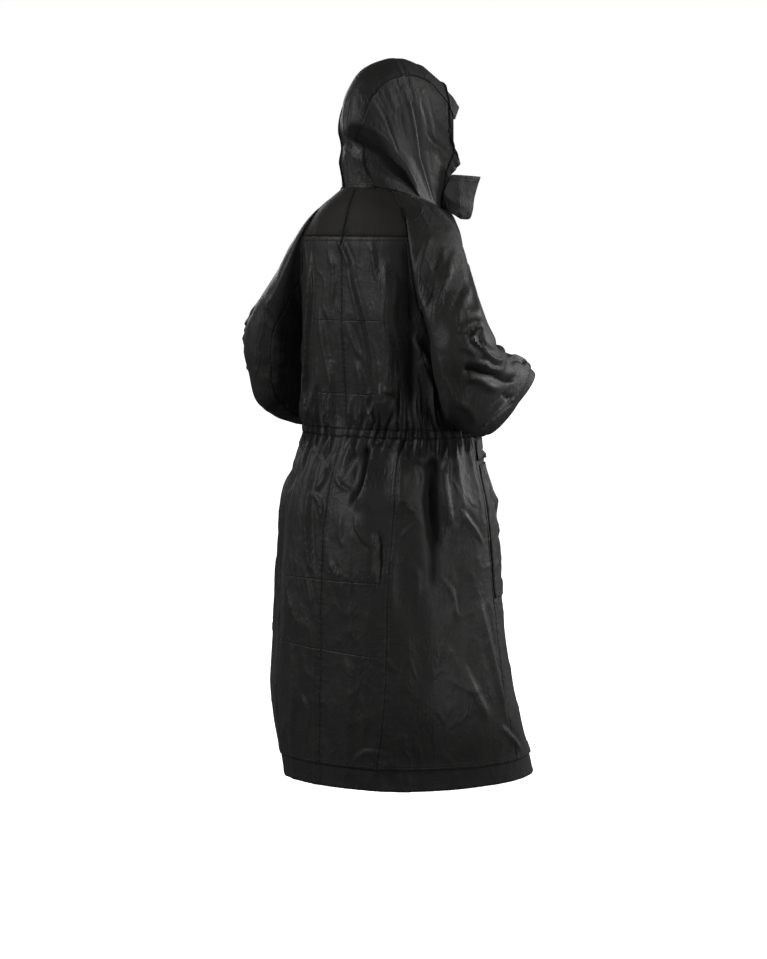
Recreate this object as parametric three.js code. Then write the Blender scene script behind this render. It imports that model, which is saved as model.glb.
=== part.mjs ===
import * as THREE from 'three';

// A long hooded parka, worn and hollow, in millimetres with +Z up.
// The origin is the middle of the neck base at shoulder level, where the wearer carries it.
// The garment faces -Y, its back is +Y and +X is the wearer's left.

const WALL = 2;                 // cloth thickness of every piece
const SEAM_GAP = 0.4;           // clear width between two pieces at a seam
const WIDE_SEAM = 1.8;          // share of the gap at curved seams, where facets turn sharply
const LIFT = 0.8;               // clear space under a piece that is sewn on a panel
const YOKE_Z = -88;             // seam below the shoulder yoke
const UNDERARM_Z = -300;        // lowest point of the armhole
const CASING_TOP = -515;        // drawcord casing at the waist
const CASING_BOTTOM = -534;
const SKIRT_EDGE = -1265;       // lower edge of the skirt panels
const HEM_TOP = -1252;          // hem band, set inside the skirt's edge
const HEM_BOTTOM = -1314;
const HEM_INSET = WALL + 0.9;
const CUFF_INSET = WALL + 4;    // the cuff band's ring inside the sleeve's slanted end
const GATHERS = 72;             // gathers round the waist
const GATHER_DEPTH = 3.4;       // height of a gather above the middle of the cloth
const GATHER_RISE = 62;         // the gathers reach this far above and below the casing
const GATHER_FALL = 90;
const GATHER_END_ANGLE = 160;   // the gathers die out here, before the placket
const GATHER_END_WIDTH = 10;
const SKIRT_BACK_SEAM = { top: 42.5, bottom: 29.5 };   // degrees from the centre back
const SKIRT_SIDE_SEAM = 105;
const BODICE_SIDE_SEAM = 90;
const FINE_STEP = 2.5;          // degrees between columns, half a gather
const MIDDLE_STEP = 5;
const COARSE_STEP = 7.5;

const HOOD_CENTRE = new THREE.Vector3(-10, -35, 0);
const HOOD_TURN = 15;           // the hood looks this far to the wearer's right
const HOOD_NECK_END = 140;      // neck angle where the face edge starts
const HOOD_NECK_BACK = 84;      // neck angle where the lowest arch starts
const HOOD_NECK_CORNER = 78;    // neck angle where the neck seam itself takes over
const HOOD_STEPS = 9;           // columns from the neck to the crown on each half
const HOOD_PANEL_STEP = 6;      // column of the seam between the side and the centre panel
const HOOD_CHANNEL = 0.8;       // width of the gathered face channel, in arches
const HOOD_GATHERS = 12;        // gathers in each face channel
const HOOD_GATHER_DEPTH = 1.6;
const HOOD_EDGE_ARCHES = 4;     // the face edge shapes the hood over this many arches
const HOOD_MIDDLE_Z = 120;      // folds and gathers stand out from this level of the hood's axis
const BRIM_SIDE = { forward: 6, down: 8 };    // the brim's reach beyond the face edge
const BRIM_MIDDLE = { forward: 26, down: 30 };

const CUFF_LENGTH = 25;         // part of the cuff band that shows below the sleeve
const CUFF_TUCK = 12;           // part of it inside the sleeve
const PLACKET_HALF = 28;
const PLACKET_TOP = -42;
const PLACKET_BOTTOM = SKIRT_EDGE + 10;
const ZIP_TOP = PLACKET_TOP - 6;
const ZIP_BOTTOM = SKIRT_EDGE + 60;
const ZIP_HALF = 13;
const ZIP_LIFT = -WALL - 0.7;   // the zip tape lies inside the fronts
const FLAP_START = 1.2;           // the throat flap begins this far ahead of the face edge
const FLAP_BULGE = 9;
const FLAP_DROP = 4;            // how late the flap's lower rows drop in front of the chest

// Level sections of the body. half: half width, back and front: depth behind and ahead of the axis,
// side: Y of the widest point, square and chest: roundness of the back and of the front half, where
// 2 is an ellipse and more is squarer, tilt: rise at the back.
const bodySections = [
  { z: -3, half: 98, back: 89, front: 143, side: 0, square: 2.2, chest: 2.1, tilt: 30 },
  { z: -25, half: 155, back: 108, front: 143, side: 0, square: 2.3, chest: 1.9, tilt: 14 },
  { z: -57, half: 195, back: 122, front: 140, side: 0, square: 2.35, chest: 1.75, tilt: 5 },
  { z: -88, half: 215, back: 133, front: 139, side: 0, square: 2.4, chest: 1.7, tilt: 0 },
  { z: -134, half: 216, back: 136, front: 142, side: 0, square: 2.4, chest: 1.8, tilt: 0 },
  { z: -188, half: 214, back: 137, front: 152, side: 0, square: 2.4, chest: 2, tilt: 0 },
  { z: -300, half: 209, back: 134.5, front: 160, side: 0, square: 2.6, chest: 2.4, tilt: 0 },
  { z: -400, half: 210, back: 127, front: 160, side: 0, square: 2.7, chest: 2.7, tilt: 0 },
  { z: -450, half: 211, back: 122, front: 160, side: 0, square: 2.8, chest: 2.8, tilt: 0 },
  { z: -490, half: 214, back: 124, front: 161, side: -6, square: 2.7, chest: 2.7, tilt: 0 },
  { z: -525, half: 217, back: 131, front: 174, side: -18, square: 2.4, chest: 2.4, tilt: 0 },
  { z: -588, half: 234, back: 159, front: 177, side: -10, square: 2.2, chest: 2.2, tilt: 0 },
  { z: -685, half: 264, back: 187, front: 189, side: -2, square: 2.2, chest: 2.2, tilt: 0 },
  { z: -775, half: 272, back: 197, front: 203, side: -4, square: 2.2, chest: 2.2, tilt: 0 },
  { z: -911, half: 283, back: 203, front: 216, side: -8, square: 2.2, chest: 2.2, tilt: 0 },
  { z: -1024, half: 297, back: 204, front: 227, side: -13, square: 2.2, chest: 2.2, tilt: 0 },
  { z: -1143, half: 308, back: 208, front: 252, side: -24, square: 2.2, chest: 2.2, tilt: 0 },
  { z: -1198, half: 303, back: 208, front: 280, side: -40, square: 2.2, chest: 2.2, tilt: 0 },
  { z: -1254, half: 290, back: 208, front: 323, side: -58, square: 2.2, chest: 2.2, tilt: 0 },
  { z: -1314, half: 277, back: 208, front: 358, side: -74, square: 2.2, chest: 2.2, tilt: 0 },
];

// Raglan seams: the angles round the body where the back and the front end and the sleeve begins.
const raglanRows = [
  { z: -3, back: 50, front: 135 },
  { z: -25, back: 49.5, front: 134 },
  { z: -57, back: 48.5, front: 132 },
  { z: -88, back: 48, front: 130 },
  { z: -130, back: 50, front: 128 },
  { z: -170, back: 52.5, front: 126 },
  { z: -210, back: 55.5, front: 123 },
  { z: -250, back: 60, front: 119 },
  { z: -280, back: 71, front: 107 },
  { z: UNDERARM_Z, back: BODICE_SIDE_SEAM, front: BODICE_SIDE_SEAM },
];

// Soft folds of the body. angle: degrees from the centre back, + to the wearer's left,
// top and bottom: where it starts and ends, out: its height, width: its half width in degrees.
const bodyFolds = [
  { angle: 20, top: -330, bottom: -530, out: 4, width: 7 },
  { angle: -10, top: -300, bottom: -530, out: 3.5, width: 6 },
  { angle: -25, top: -280, bottom: -540, out: 5, width: 6 },
  { angle: -42, top: -240, bottom: -530, out: -5, width: 8 },
  { angle: 38, top: -200, bottom: -520, out: -4, width: 7 },
  { angle: 132, top: -240, bottom: -520, out: 5, width: 8 },
  { angle: -132, top: -240, bottom: -520, out: 5, width: 8 },
  { angle: 155, top: -200, bottom: -520, out: -4, width: 7 },
  { angle: -152, top: -220, bottom: -520, out: -4, width: 8 },
  { angle: 22, top: -560, bottom: -1230, out: 7, width: 7 },
  { angle: 5, top: -550, bottom: -900, out: -4, width: 7 },
  { angle: -13, top: -545, bottom: -760, out: -7, width: 7 },
  { angle: -25, top: -550, bottom: -1180, out: 6, width: 7 },
  { angle: -42, top: -560, bottom: -930, out: -6, width: 8 },
  { angle: -58, top: -570, bottom: -1240, out: 7, width: 9 },
  { angle: -77, top: -600, bottom: -1240, out: -6, width: 9 },
  { angle: 43, top: -570, bottom: -1240, out: -7, width: 9 },
  { angle: 62, top: -560, bottom: -1240, out: 7, width: 9 },
  { angle: 82, top: -580, bottom: -1240, out: -6, width: 9 },
  { angle: 160, top: -900, bottom: -1260, out: -5, width: 8 },
  { angle: -162, top: -880, bottom: -1260, out: -5, width: 8 },
];

// Rings of the bent sleeve on the wearer's left, from the armhole to the cuff.
// outer, back, inner and front are the four sides of each ring.
const sleeveRings = [
  { outer: [157, 16, -27], back: [186, 107, -128], inner: [219, 2, -307], front: [186, -60, -140] },
  { outer: [216, 20, -81], back: [211, 119, -180], inner: [223, 8, -314], front: [205, -50, -180] },
  { outer: [251, 30, -135], back: [230, 126, -215], inner: [226, 16, -321], front: [226, -42, -222] },
  { outer: [328, 56, -242], back: [263, 132, -270], inner: [229, 23, -331], front: [262, -33, -287] },
  { outer: [366, 62, -298], back: [282, 132, -322], inner: [231, 26, -343], front: [268, -36, -316] },
  { outer: [376, 54, -352], back: [292, 126, -390], inner: [232, 24, -361], front: [272, -56, -322] },
  { outer: [358, 26, -398], back: [296, 104, -463], inner: [228, 12, -388], front: [270, -76, -330] },
  { outer: [346, -10, -424], back: [286, 62, -503], inner: [226, -18, -415], front: [264, -104, -339] },
  { outer: [322, -62, -434], back: [280, 13, -523], inner: [225, -62, -432], front: [258, -152, -357] },
  { outer: [311, -98, -445], back: [275, -21, -529], inner: [220, -102, -446], front: [254, -192, -369] },
  { outer: [298, -128, -458], back: [268, -50, -530], inner: [213, -130, -457], front: [251, -225, -391] },
];

// Soft folds of the sleeves. ring: place along the sleeve, turn: degrees round it from outer over
// back and inner to front, out: height, along and around: half sizes in rings and degrees.
const sleeveFolds = [
  { ring: 6.1, turn: 275, out: -10, along: 0.55, around: 60 },
  { ring: 5.1, turn: 280, out: 7, along: 0.5, around: 50 },
  { ring: 7.2, turn: 285, out: 7, along: 0.6, around: 45 },
  { ring: 8.0, turn: 300, out: -6, along: 0.5, around: 40 },
  { ring: 6.3, turn: 55, out: -6, along: 0.5, around: 40 },
  { ring: 7.2, turn: 80, out: 6, along: 0.6, around: 40 },
  { ring: 3.2, turn: 60, out: -5, along: 0.7, around: 25 },
  { ring: 2.6, turn: 25, out: 5, along: 0.8, around: 20 },
];

// Arches of the hood from the face edge back to the nape, in the hood's own turned frame.
// forward and z: the top of the arch, half: its half width, square: its roundness.
const hoodArches = [
  { arch: 0, forward: 118, z: 238, half: 78, square: 2.4 },
  { arch: 1, forward: 98, z: 262, half: 88, square: 2.35 },
  { arch: 2, forward: 70, z: 285, half: 95, square: 2.3 },
  { arch: 3, forward: 30, z: 301, half: 101, square: 2.3 },
  { arch: 4, forward: -10, z: 308, half: 103, square: 2.3 },
  { arch: 5, forward: -52, z: 301, half: 104, square: 2.3 },
  { arch: 6, forward: -88, z: 282, half: 104, square: 2.3 },
  { arch: 7, forward: -113, z: 253, half: 103, square: 2.3 },
  { arch: 8, forward: -128, z: 218, half: 100, square: 2.3 },
  { arch: 9, forward: -135, z: 180, half: 97, square: 2.25 },
  { arch: 10, forward: -137, z: 140, half: 95, square: 2.2 },
  { arch: 11, forward: -132, z: 98, half: 92, square: 2.2 },
  { arch: 12, forward: -123, z: 60, half: 90, square: 2.2 },
];

// Face edge of the hood on one half, from the neck to the brim's middle.
const faceEdge = [
  { step: 0, aside: 60, forward: 75, z: -26 },
  { step: 1, aside: 64, forward: 78, z: 10 },
  { step: 2, aside: 72, forward: 96, z: 50 },
  { step: 3, aside: 74, forward: 116, z: 78 },
  { step: 4, aside: 82, forward: 97, z: 110 },
  { step: 5, aside: 85, forward: 88, z: 142 },
  { step: 6, aside: 78, forward: 97, z: 176 },
  { step: 7, aside: 58, forward: 108, z: 208 },
  { step: 8, aside: 30, forward: 115, z: 230 },
  { step: 9, aside: 0, forward: 118, z: 238 },
];

// Folds of the hood. arch and step place the middle, out: height, across and along: half sizes.
const hoodFolds = [
  { arch: 10.2, step: 7.5, out: -7, across: 0.8, along: 3.5 },
  { arch: 9.2, step: 4.5, out: 5, across: 0.9, along: 2.5 },
  { arch: 11.6, step: 5, out: 5, across: 0.7, along: 3 },
  { arch: 6.5, step: 4, out: -4, across: 1.2, along: 2 },
];

const cloth = { colour: 0x2a2928, roughness: 0.72 };
const yokeCloth = { colour: 0x2c2926, roughness: 0.72 };
const trimCloth = { colour: 0x232221, roughness: 0.7 };
const tapeCloth = { colour: 0x1a1a1a, roughness: 0.8 };

const radians = THREE.MathUtils.degToRad;
const mix = THREE.MathUtils.lerp;
const point = (values) => new THREE.Vector3(...values);

// Every column of a table as a smooth curve of its key column.
function sampleTable(rows, key, at) {
  const last = rows.length - 1;
  const down = Math.sign(rows[last][key] - rows[0][key]);
  let i = 0;
  while (i < last - 1 && (at - rows[i + 1][key]) * down > 0) i += 1;
  const gap = (j, name) => (rows[j + 1][name] - rows[j][name]) / (rows[j + 1][key] - rows[j][key]);
  const width = (j) => rows[j + 1][key] - rows[j][key];
  const slope = (j, name) => {
    if (j === 0) return gap(0, name);
    if (j === last) return gap(last - 1, name);
    return (gap(j - 1, name) * width(j) + gap(j, name) * width(j - 1)) / (width(j - 1) + width(j));
  };
  const span = width(i);
  const t = THREE.MathUtils.clamp((at - rows[i][key]) / span, 0, 1);
  const result = {};
  for (const name of Object.keys(rows[0])) {
    const a = rows[i][name];
    const b = rows[i + 1][name];
    const curve = a * (2 * t ** 3 - 3 * t ** 2 + 1) + b * (3 * t ** 2 - 2 * t ** 3);
    const bend = slope(i, name) * span * (t ** 3 - 2 * t ** 2 + t)
      + slope(i + 1, name) * span * (t ** 3 - t ** 2);
    result[name] = curve + bend;
  }
  return result;
}

function steps(from, to, count) {
  return Array.from({ length: count + 1 }, (_, i) => mix(from, to, i / count));
}

function bell(distance) {
  return Math.exp(-distance * distance);
}

function gatherFade(angle, z) {
  const above = THREE.MathUtils.smoothstep(z, CASING_TOP, CASING_TOP + GATHER_RISE);
  const below = 1 - THREE.MathUtils.smoothstep(z, CASING_BOTTOM - GATHER_FALL, CASING_BOTTOM);
  const fade = z > CASING_TOP ? 1 - above : z < CASING_BOTTOM ? 1 - below : 1;
  const end = 1 - THREE.MathUtils.smoothstep(
    Math.abs(angle), GATHER_END_ANGLE, GATHER_END_ANGLE + GATHER_END_WIDTH);
  return fade * end;
}

function gatherHeight(angle, z) {
  return GATHER_DEPTH * gatherFade(angle, z) * Math.cos(radians(GATHERS * angle));
}

function bodyFoldHeight(angle, z) {
  let height = 0;
  for (const fold of bodyFolds) {
    if (z > fold.top || z < fold.bottom) continue;
    const rise = Math.sin(Math.PI * (fold.top - z) / (fold.top - fold.bottom)) ** 2;
    height += fold.out * rise * bell((angle - fold.angle) / fold.width);
  }
  return height;
}

// A point of the body's outer face: angle in degrees from the centre back, z: its section.
function bodyPoint(angle, z, gathered = true) {
  const row = sampleTable(bodySections, 'z', z);
  const turn = radians(angle);
  const power = 2 / (Math.cos(turn) > 0 ? row.square : row.chest);
  const reach = Math.sign(Math.sin(turn)) * Math.abs(Math.sin(turn)) ** power;
  const depth = Math.abs(Math.cos(turn)) ** power;
  const y = Math.cos(turn) > 0
    ? row.side + (row.back - row.side) * depth
    : row.side - (row.front + row.side) * depth;
  const height = bodyFoldHeight(angle, z) + (gathered ? gatherHeight(angle, z) : 0);
  const out = 1 + height / row.half;
  return new THREE.Vector3(row.half * reach * out, y * out, z + row.tilt * Math.cos(turn));
}

// The neck seam is a chain of straight stretches between these angles, shared by all its pieces.
const neckAngles = [
  ...steps(0, 50, 6), 64, HOOD_NECK_CORNER, 92, 107, 121, ...steps(135, 180, 6),
];

function neckPoint(angle) {
  const size = Math.abs(angle);
  const side = Math.sign(angle) || 1;
  let i = 0;
  while (i < neckAngles.length - 2 && size > neckAngles[i + 1]) i += 1;
  const t = (size - neckAngles[i]) / (neckAngles[i + 1] - neckAngles[i]);
  const top = bodySections[0].z;
  return bodyPoint(side * neckAngles[i], top).lerp(bodyPoint(side * neckAngles[i + 1], top), t);
}

// Pieces are collected first, because neighbours share the directions of their walls at a seam.
const pieces = [];

function addPiece(name, rows, finish, options = {}) {
  pieces.push({ name, rows, finish, flip: false, closed: false, ...options });
}

// Two rows of points with any number of columns, joined by triangles.
function stitchRows(upper, lower, first, second, closed) {
  const faces = [];
  const upperEnd = upper.at.length - (closed ? 0 : 1);
  const lowerEnd = lower.at.length - (closed ? 0 : 1);
  const placed = (row, k) => (k < row.at.length ? row.at[k] : row.at[0] + 360);
  let i = 0;
  let j = 0;
  while (i < upperEnd || j < lowerEnd) {
    const p = upper.points[i % upper.points.length];
    const q = lower.points[j % lower.points.length];
    const pNext = upper.points[(i + 1) % upper.points.length];
    const qNext = lower.points[(j + 1) % lower.points.length];
    let takeUpper = j >= lowerEnd;
    if (i < upperEnd && j < lowerEnd) {
      const lead = placed(upper, i + 1) - placed(lower, j + 1);
      const even = Math.abs(lead) < 0.3 * Math.abs(placed(upper, i + 1) - placed(upper, i));
      takeUpper = even ? pNext.distanceTo(q) < qNext.distanceTo(p) : lead < 0;
    }
    const a = first + (i % upper.points.length);
    const b = second + (j % lower.points.length);
    if (takeUpper) {
      faces.push([a, b, first + ((i + 1) % upper.points.length)]);
      i += 1;
    } else {
      faces.push([a, b, second + ((j + 1) % lower.points.length)]);
      j += 1;
    }
  }
  return faces;
}

function layOut(piece) {
  const starts = [];
  piece.points = [];
  for (const row of piece.rows) {
    starts.push(piece.points.length);
    piece.points.push(...row.points);
  }
  piece.faces = [];
  for (let r = 0; r < piece.rows.length - 1; r += 1) {
    const joined = stitchRows(piece.rows[r], piece.rows[r + 1], starts[r], starts[r + 1], piece.closed);
    for (const [a, b, c] of joined) piece.faces.push(piece.flip ? [a, c, b] : [a, b, c]);
  }
}

// Points nearer than this, in millimetres, are one point of a seam.
const SAME_PLACE = 0.05;
const onGrid = (value) => Math.round(value / SAME_PLACE);
const placeKey = (p) => `${onGrid(p.x)},${onGrid(p.y)},${onGrid(p.z)}`;

function faceNormal(piece, [a, b, c]) {
  const ab = piece.points[b].clone().sub(piece.points[a]);
  const ac = piece.points[c].clone().sub(piece.points[a]);
  return ab.cross(ac);
}

function shareNormals(group) {
  const sums = new Map();
  for (const piece of group) {
    for (const face of piece.faces) {
      const normal = faceNormal(piece, face);
      for (const corner of face) {
        const key = placeKey(piece.points[corner]);
        if (!sums.has(key)) sums.set(key, new THREE.Vector3());
        sums.get(key).add(normal);
      }
    }
  }
  for (const piece of group) {
    piece.normals = piece.points.map((p) => sums.get(placeKey(p)).clone().normalize());
  }
}

function borderEdges(faces) {
  const directed = new Set(faces.flatMap(([a, b, c]) => [`${a},${b}`, `${b},${c}`, `${c},${a}`]));
  return [...directed]
    .map((edge) => edge.split(',').map(Number))
    .filter(([a, b]) => !directed.has(`${b},${a}`));
}

// Border points move into the piece by half of the seam gap.
function trimBorder(piece, edges) {
  const pull = SEAM_GAP / 2 * (piece.wide ? WIDE_SEAM : 1);
  const moves = new Map();
  const opposite = new Map();
  for (const [a, b, c] of piece.faces) {
    opposite.set(`${a},${b}`, c);
    opposite.set(`${b},${c}`, a);
    opposite.set(`${c},${a}`, b);
  }
  for (const [a, b] of edges) {
    const start = piece.points[a];
    const along = piece.points[b].clone().sub(start).normalize();
    const inward = piece.points[opposite.get(`${a},${b}`)].clone().sub(start);
    inward.addScaledVector(along, -inward.dot(along)).normalize();
    for (const corner of [a, b]) {
      if (!moves.has(corner)) moves.set(corner, []);
      moves.get(corner).push(inward);
    }
  }
  return piece.points.map((p, i) => {
    if (!moves.has(i)) return p.clone();
    const list = moves.get(i);
    const mean = list.reduce((sum, v) => sum.add(v), new THREE.Vector3()).normalize();
    const cosine = Math.max(0.5, list[0].dot(mean));
    return p.clone().addScaledVector(mean, pull / cosine);
  });
}

// Two pieces split the slanted wall between them along the same diagonal.
function comesFirst(p, q) {
  for (const axis of ['x', 'y', 'z']) {
    const difference = Math.round((p[axis] - q[axis]) / SAME_PLACE);
    if (difference) return difference < 0;
  }
  return true;
}

function clothMesh(piece) {
  const edges = borderEdges(piece.faces);
  const outer = trimBorder(piece, edges);
  const inner = outer.map((p, i) => p.clone().addScaledVector(piece.normals[i], -WALL));
  const count = outer.length;
  const faces = [...piece.faces];
  for (const [a, b, c] of piece.faces) faces.push([a + count, c + count, b + count]);
  for (const [a, b] of edges) {
    const wall = comesFirst(piece.points[a], piece.points[b])
      ? [[b, a, a + count], [b, a + count, b + count]]
      : [[b, a, b + count], [a, a + count, b + count]];
    faces.push(...wall);
  }
  const geometry = new THREE.BufferGeometry();
  const coordinates = [...outer, ...inner].flatMap((p) => [p.x, p.y, p.z]);
  geometry.setAttribute('position', new THREE.Float32BufferAttribute(coordinates, 3));
  geometry.setIndex(faces.flat());
  geometry.computeVertexNormals();
  const material = new THREE.MeshStandardMaterial({
    color: piece.finish.colour, roughness: piece.finish.roughness, metalness: 0,
  });
  const mesh = new THREE.Mesh(geometry, material);
  mesh.name = piece.name;
  return mesh;
}

// Body rows: the level and the step between its columns.
const upperRows = [
  { z: -130, step: COARSE_STEP }, { z: -170, step: COARSE_STEP }, { z: -210, step: COARSE_STEP },
  { z: -250, step: COARSE_STEP }, { z: -280, step: COARSE_STEP }, { z: UNDERARM_Z, step: COARSE_STEP },
  { z: -340, step: COARSE_STEP }, { z: -382, step: COARSE_STEP }, { z: -420, step: COARSE_STEP },
  { z: -453, step: MIDDLE_STEP }, { z: -487, step: FINE_STEP }, { z: CASING_TOP, step: FINE_STEP },
];
const skirtRows = [
  { z: CASING_BOTTOM, step: FINE_STEP }, { z: -575, step: FINE_STEP }, { z: -625, step: MIDDLE_STEP },
  { z: -690, step: COARSE_STEP }, { z: -765, step: COARSE_STEP }, { z: -840, step: COARSE_STEP },
  { z: -915, step: COARSE_STEP }, { z: -990, step: COARSE_STEP }, { z: -1065, step: COARSE_STEP },
  { z: -1135, step: COARSE_STEP }, { z: -1200, step: COARSE_STEP }, { z: HEM_TOP, step: COARSE_STEP },
  { z: SKIRT_EDGE, step: COARSE_STEP },
];
const shoulderRows = raglanRows.filter((row) => row.z > YOKE_Z);
const shoulderColumns = 6;
const bodiceColumns = 12;

function bodyRow(z, from, to, count, side) {
  const angles = steps(from, to, count);
  const points = angles.map((angle) => (z === bodySections[0].z
    ? neckPoint(side * angle) : bodyPoint(side * angle, z)));
  return { z, at: angles, points };
}

function raglanAngle(z, edge) {
  if (z <= UNDERARM_Z) return BODICE_SIDE_SEAM;
  return raglanRows.find((row) => row.z === z)[edge];
}

function bodiceColumnCount(z, step) {
  return z > UNDERARM_Z ? bodiceColumns : Math.round(BODICE_SIDE_SEAM / step);
}

function bodyHalf(sideName, side) {
  const flip = side > 0;
  const yokeRows = [...shoulderRows, raglanRows[3]].map(({ z, back }) => bodyRow(
    z, 0, back, z > YOKE_Z ? shoulderColumns : bodiceColumns, side));
  addPiece(`yoke_${sideName}`, yokeRows, yokeCloth, { flip });

  const levels = [{ z: YOKE_Z, step: COARSE_STEP }, ...upperRows];
  const backRows = levels.map(({ z, step }) => bodyRow(
    z, 0, raglanAngle(z, 'back'), bodiceColumnCount(z, step), side));
  addPiece(`back_${sideName}`, backRows, cloth, { flip });

  const chestRows = shoulderRows.map(({ z, front }) => bodyRow(z, front, 180, shoulderColumns, side));
  const frontRows = levels.map(({ z, step }) => bodyRow(
    z, raglanAngle(z, 'front'), 180, bodiceColumnCount(z, step), side));
  addPiece(`front_${sideName}`, [...chestRows, ...frontRows], cloth, { flip });

  const casingRows = [CASING_TOP, CASING_BOTTOM].map((z) => bodyRow(z, 0, 180, 180 / FINE_STEP, side));
  addPiece(`waist_casing_${sideName}`, casingRows, trimCloth, { flip });

  const centre = () => 0;
  const backSeam = (z) => mix(SKIRT_BACK_SEAM.top, SKIRT_BACK_SEAM.bottom,
    (CASING_BOTTOM - z) / (CASING_BOTTOM - SKIRT_EDGE));
  const sideSeam = () => SKIRT_SIDE_SEAM;
  const front = () => 180;
  const skirtPanels = [
    ['back', centre, backSeam], ['side', backSeam, sideSeam], ['front', sideSeam, front],
  ];
  for (const [panel, from, to] of skirtPanels) {
    const rows = skirtRows.map(({ z, step }) => bodyRow(
      z, from(z), to(z), Math.round((to(z) - from(z)) / step), side));
    addPiece(`skirt_${panel}_${sideName}`, rows, cloth, { flip });
  }

  const hemRows = [HEM_TOP, SKIRT_EDGE, HEM_BOTTOM].map((z) => {
    const row = bodyRow(z, 0, 180, 180 / COARSE_STEP, side);
    row.points = row.points.map((p, i) => p.addScaledVector(bodyNormal(side * row.at[i], z), -HEM_INSET));
    if (z === HEM_BOTTOM) row.points.forEach((p) => p.setZ(HEM_BOTTOM));
    return row;
  });
  addPiece(`hem_band_${sideName}`, hemRows, trimCloth, { flip });
}

function bodyNormal(angle, z) {
  const across = bodyPoint(angle + 1, z, false).sub(bodyPoint(angle - 1, z, false));
  const down = bodyPoint(angle, z - 4, false).sub(bodyPoint(angle, z + 4, false));
  return across.cross(down).normalize();
}

// Sleeves: 24 columns that start at the armhole's 10 back points, 10 front points and the neck edge.
const sleeveColumns = 24;
const underColumns = [8, 12];   // the under sleeve lies between these two seams

function armholeLoop() {
  const back = raglanRows.map((row) => (row.z === bodySections[0].z
    ? neckPoint(row.back) : bodyPoint(row.back, row.z)));
  const front = raglanRows.map((row) => (row.z === bodySections[0].z
    ? neckPoint(row.front) : bodyPoint(row.front, row.z))).reverse();
  const overTop = [92, 78, 64].map(neckPoint);
  const toTop = [121, 107].map(neckPoint);
  return [...overTop, ...back, ...front.slice(1), ...toTop];
}

function stationPoint(ring, turn) {
  const sides = [ring.outer, ring.back, ring.inner, ring.front].map(point);
  const centre = sides.reduce((sum, p) => sum.add(p), new THREE.Vector3()).multiplyScalar(0.25);
  const quarter = Math.floor(turn / 90) % 4;
  const rest = radians(turn - 90 * Math.floor(turn / 90));
  return centre.clone()
    .addScaledVector(sides[quarter].sub(centre), Math.cos(rest))
    .addScaledVector(sides[(quarter + 1) % 4].sub(centre), Math.sin(rest));
}

function sleeveFoldHeight(ring, turn) {
  let height = 0;
  for (const fold of sleeveFolds) {
    const round = Math.abs(((turn - fold.turn + 540) % 360) - 180);
    height += fold.out * bell((ring - fold.ring) / fold.along) * bell(round / fold.around);
  }
  return height;
}

const ringCentre = (points) => points.reduce((sum, p) => sum.add(p), new THREE.Vector3())
  .divideScalar(points.length);

// A function that gives the sleeve's ring at any place along it, 0 at the armhole.
function sleeveSurface() {
  const turns = steps(0, 360 - 360 / sleeveColumns, sleeveColumns - 1);
  const loops = [armholeLoop(), ...sleeveRings.map((ring) => turns.map((turn) => stationPoint(ring, turn)))];
  const centres = loops.map(ringCentre);
  let reach = 0;
  const reaches = centres.map((centre, i) => {
    reach += i ? centre.distanceTo(centres[i - 1]) : 0;
    return reach;
  });
  const ringAt = (place) => {
    const i = Math.min(Math.floor(place), loops.length - 2);
    const along = mix(reaches[i], reaches[i + 1], place - i);
    const points = turns.map((turn, column) => {
      const rows = loops.map((loop, k) => ({
        reach: reaches[k], x: loop[column].x, y: loop[column].y, z: loop[column].z,
      }));
      const at = sampleTable(rows, 'reach', along);
      return new THREE.Vector3(at.x, at.y, at.z);
    });
    const centre = ringCentre(points);
    return points.map((p, column) => {
      const out = p.clone().sub(centre).normalize();
      return p.addScaledVector(out, sleeveFoldHeight(place, turns[column]));
    });
  };
  const endLength = reaches[loops.length - 1] - reaches[loops.length - 2];
  return { ringAt, last: loops.length - 1, endLength };
}

const mirrored = (p) => new THREE.Vector3(-p.x, p.y, p.z);

function sleeve(sideName, side, surface) {
  const flip = side < 0;
  const placed = (points) => (side > 0 ? points : points.map(mirrored));
  const shellEnd = surface.last - CUFF_LENGTH / surface.endLength;
  const places = [0, 1, 1.6, 2.3, 3, 3.7, 4.4, 5, 5.6, 6.2, 6.8, 7.5, 8.3, 9.1, shellEnd];
  const rings = places.map((place) => placed(surface.ringAt(place)));
  const [seamA, seamB] = underColumns;
  const slice = (ring, from, to) => {
    const at = Array.from({ length: to - from + 1 }, (_, k) => from + k);
    return { at, points: at.map((column) => ring[column % sleeveColumns]) };
  };
  addPiece(`sleeve_upper_${sideName}`,
    rings.map((ring) => slice(ring, seamB, seamA + sleeveColumns)), cloth, { flip, wide: true });
  addPiece(`sleeve_under_${sideName}`,
    rings.map((ring) => slice(ring, seamA, seamB)), cloth, { flip, wide: true });

  const bandStart = shellEnd - CUFF_TUCK / surface.endLength;
  const bandRings = steps(bandStart, surface.last, 3).map((place) => {
    const ring = surface.ringAt(place);
    const centre = ringCentre(ring);
    return ring.map((p) => p.addScaledVector(p.clone().sub(centre).normalize(), -CUFF_INSET));
  });
  const bandRows = bandRings.map((ring) => ({
    at: Array.from({ length: sleeveColumns }, (_, k) => k * 360 / sleeveColumns), points: placed(ring),
  }));
  addPiece(`cuff_band_${sideName}`, bandRows, trimCloth, { flip, closed: true });
}

// Hood: a fan of arches whose feet stand along the neck seam.
const hoodAside = new THREE.Vector3(Math.cos(radians(HOOD_TURN)), -Math.sin(radians(HOOD_TURN)), 0);
const hoodForward = new THREE.Vector3(-Math.sin(radians(HOOD_TURN)), -Math.cos(radians(HOOD_TURN)), 0);

function hoodPlace(aside, forward, z) {
  return HOOD_CENTRE.clone().addScaledVector(hoodAside, aside)
    .addScaledVector(hoodForward, forward).setZ(z);
}

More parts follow.
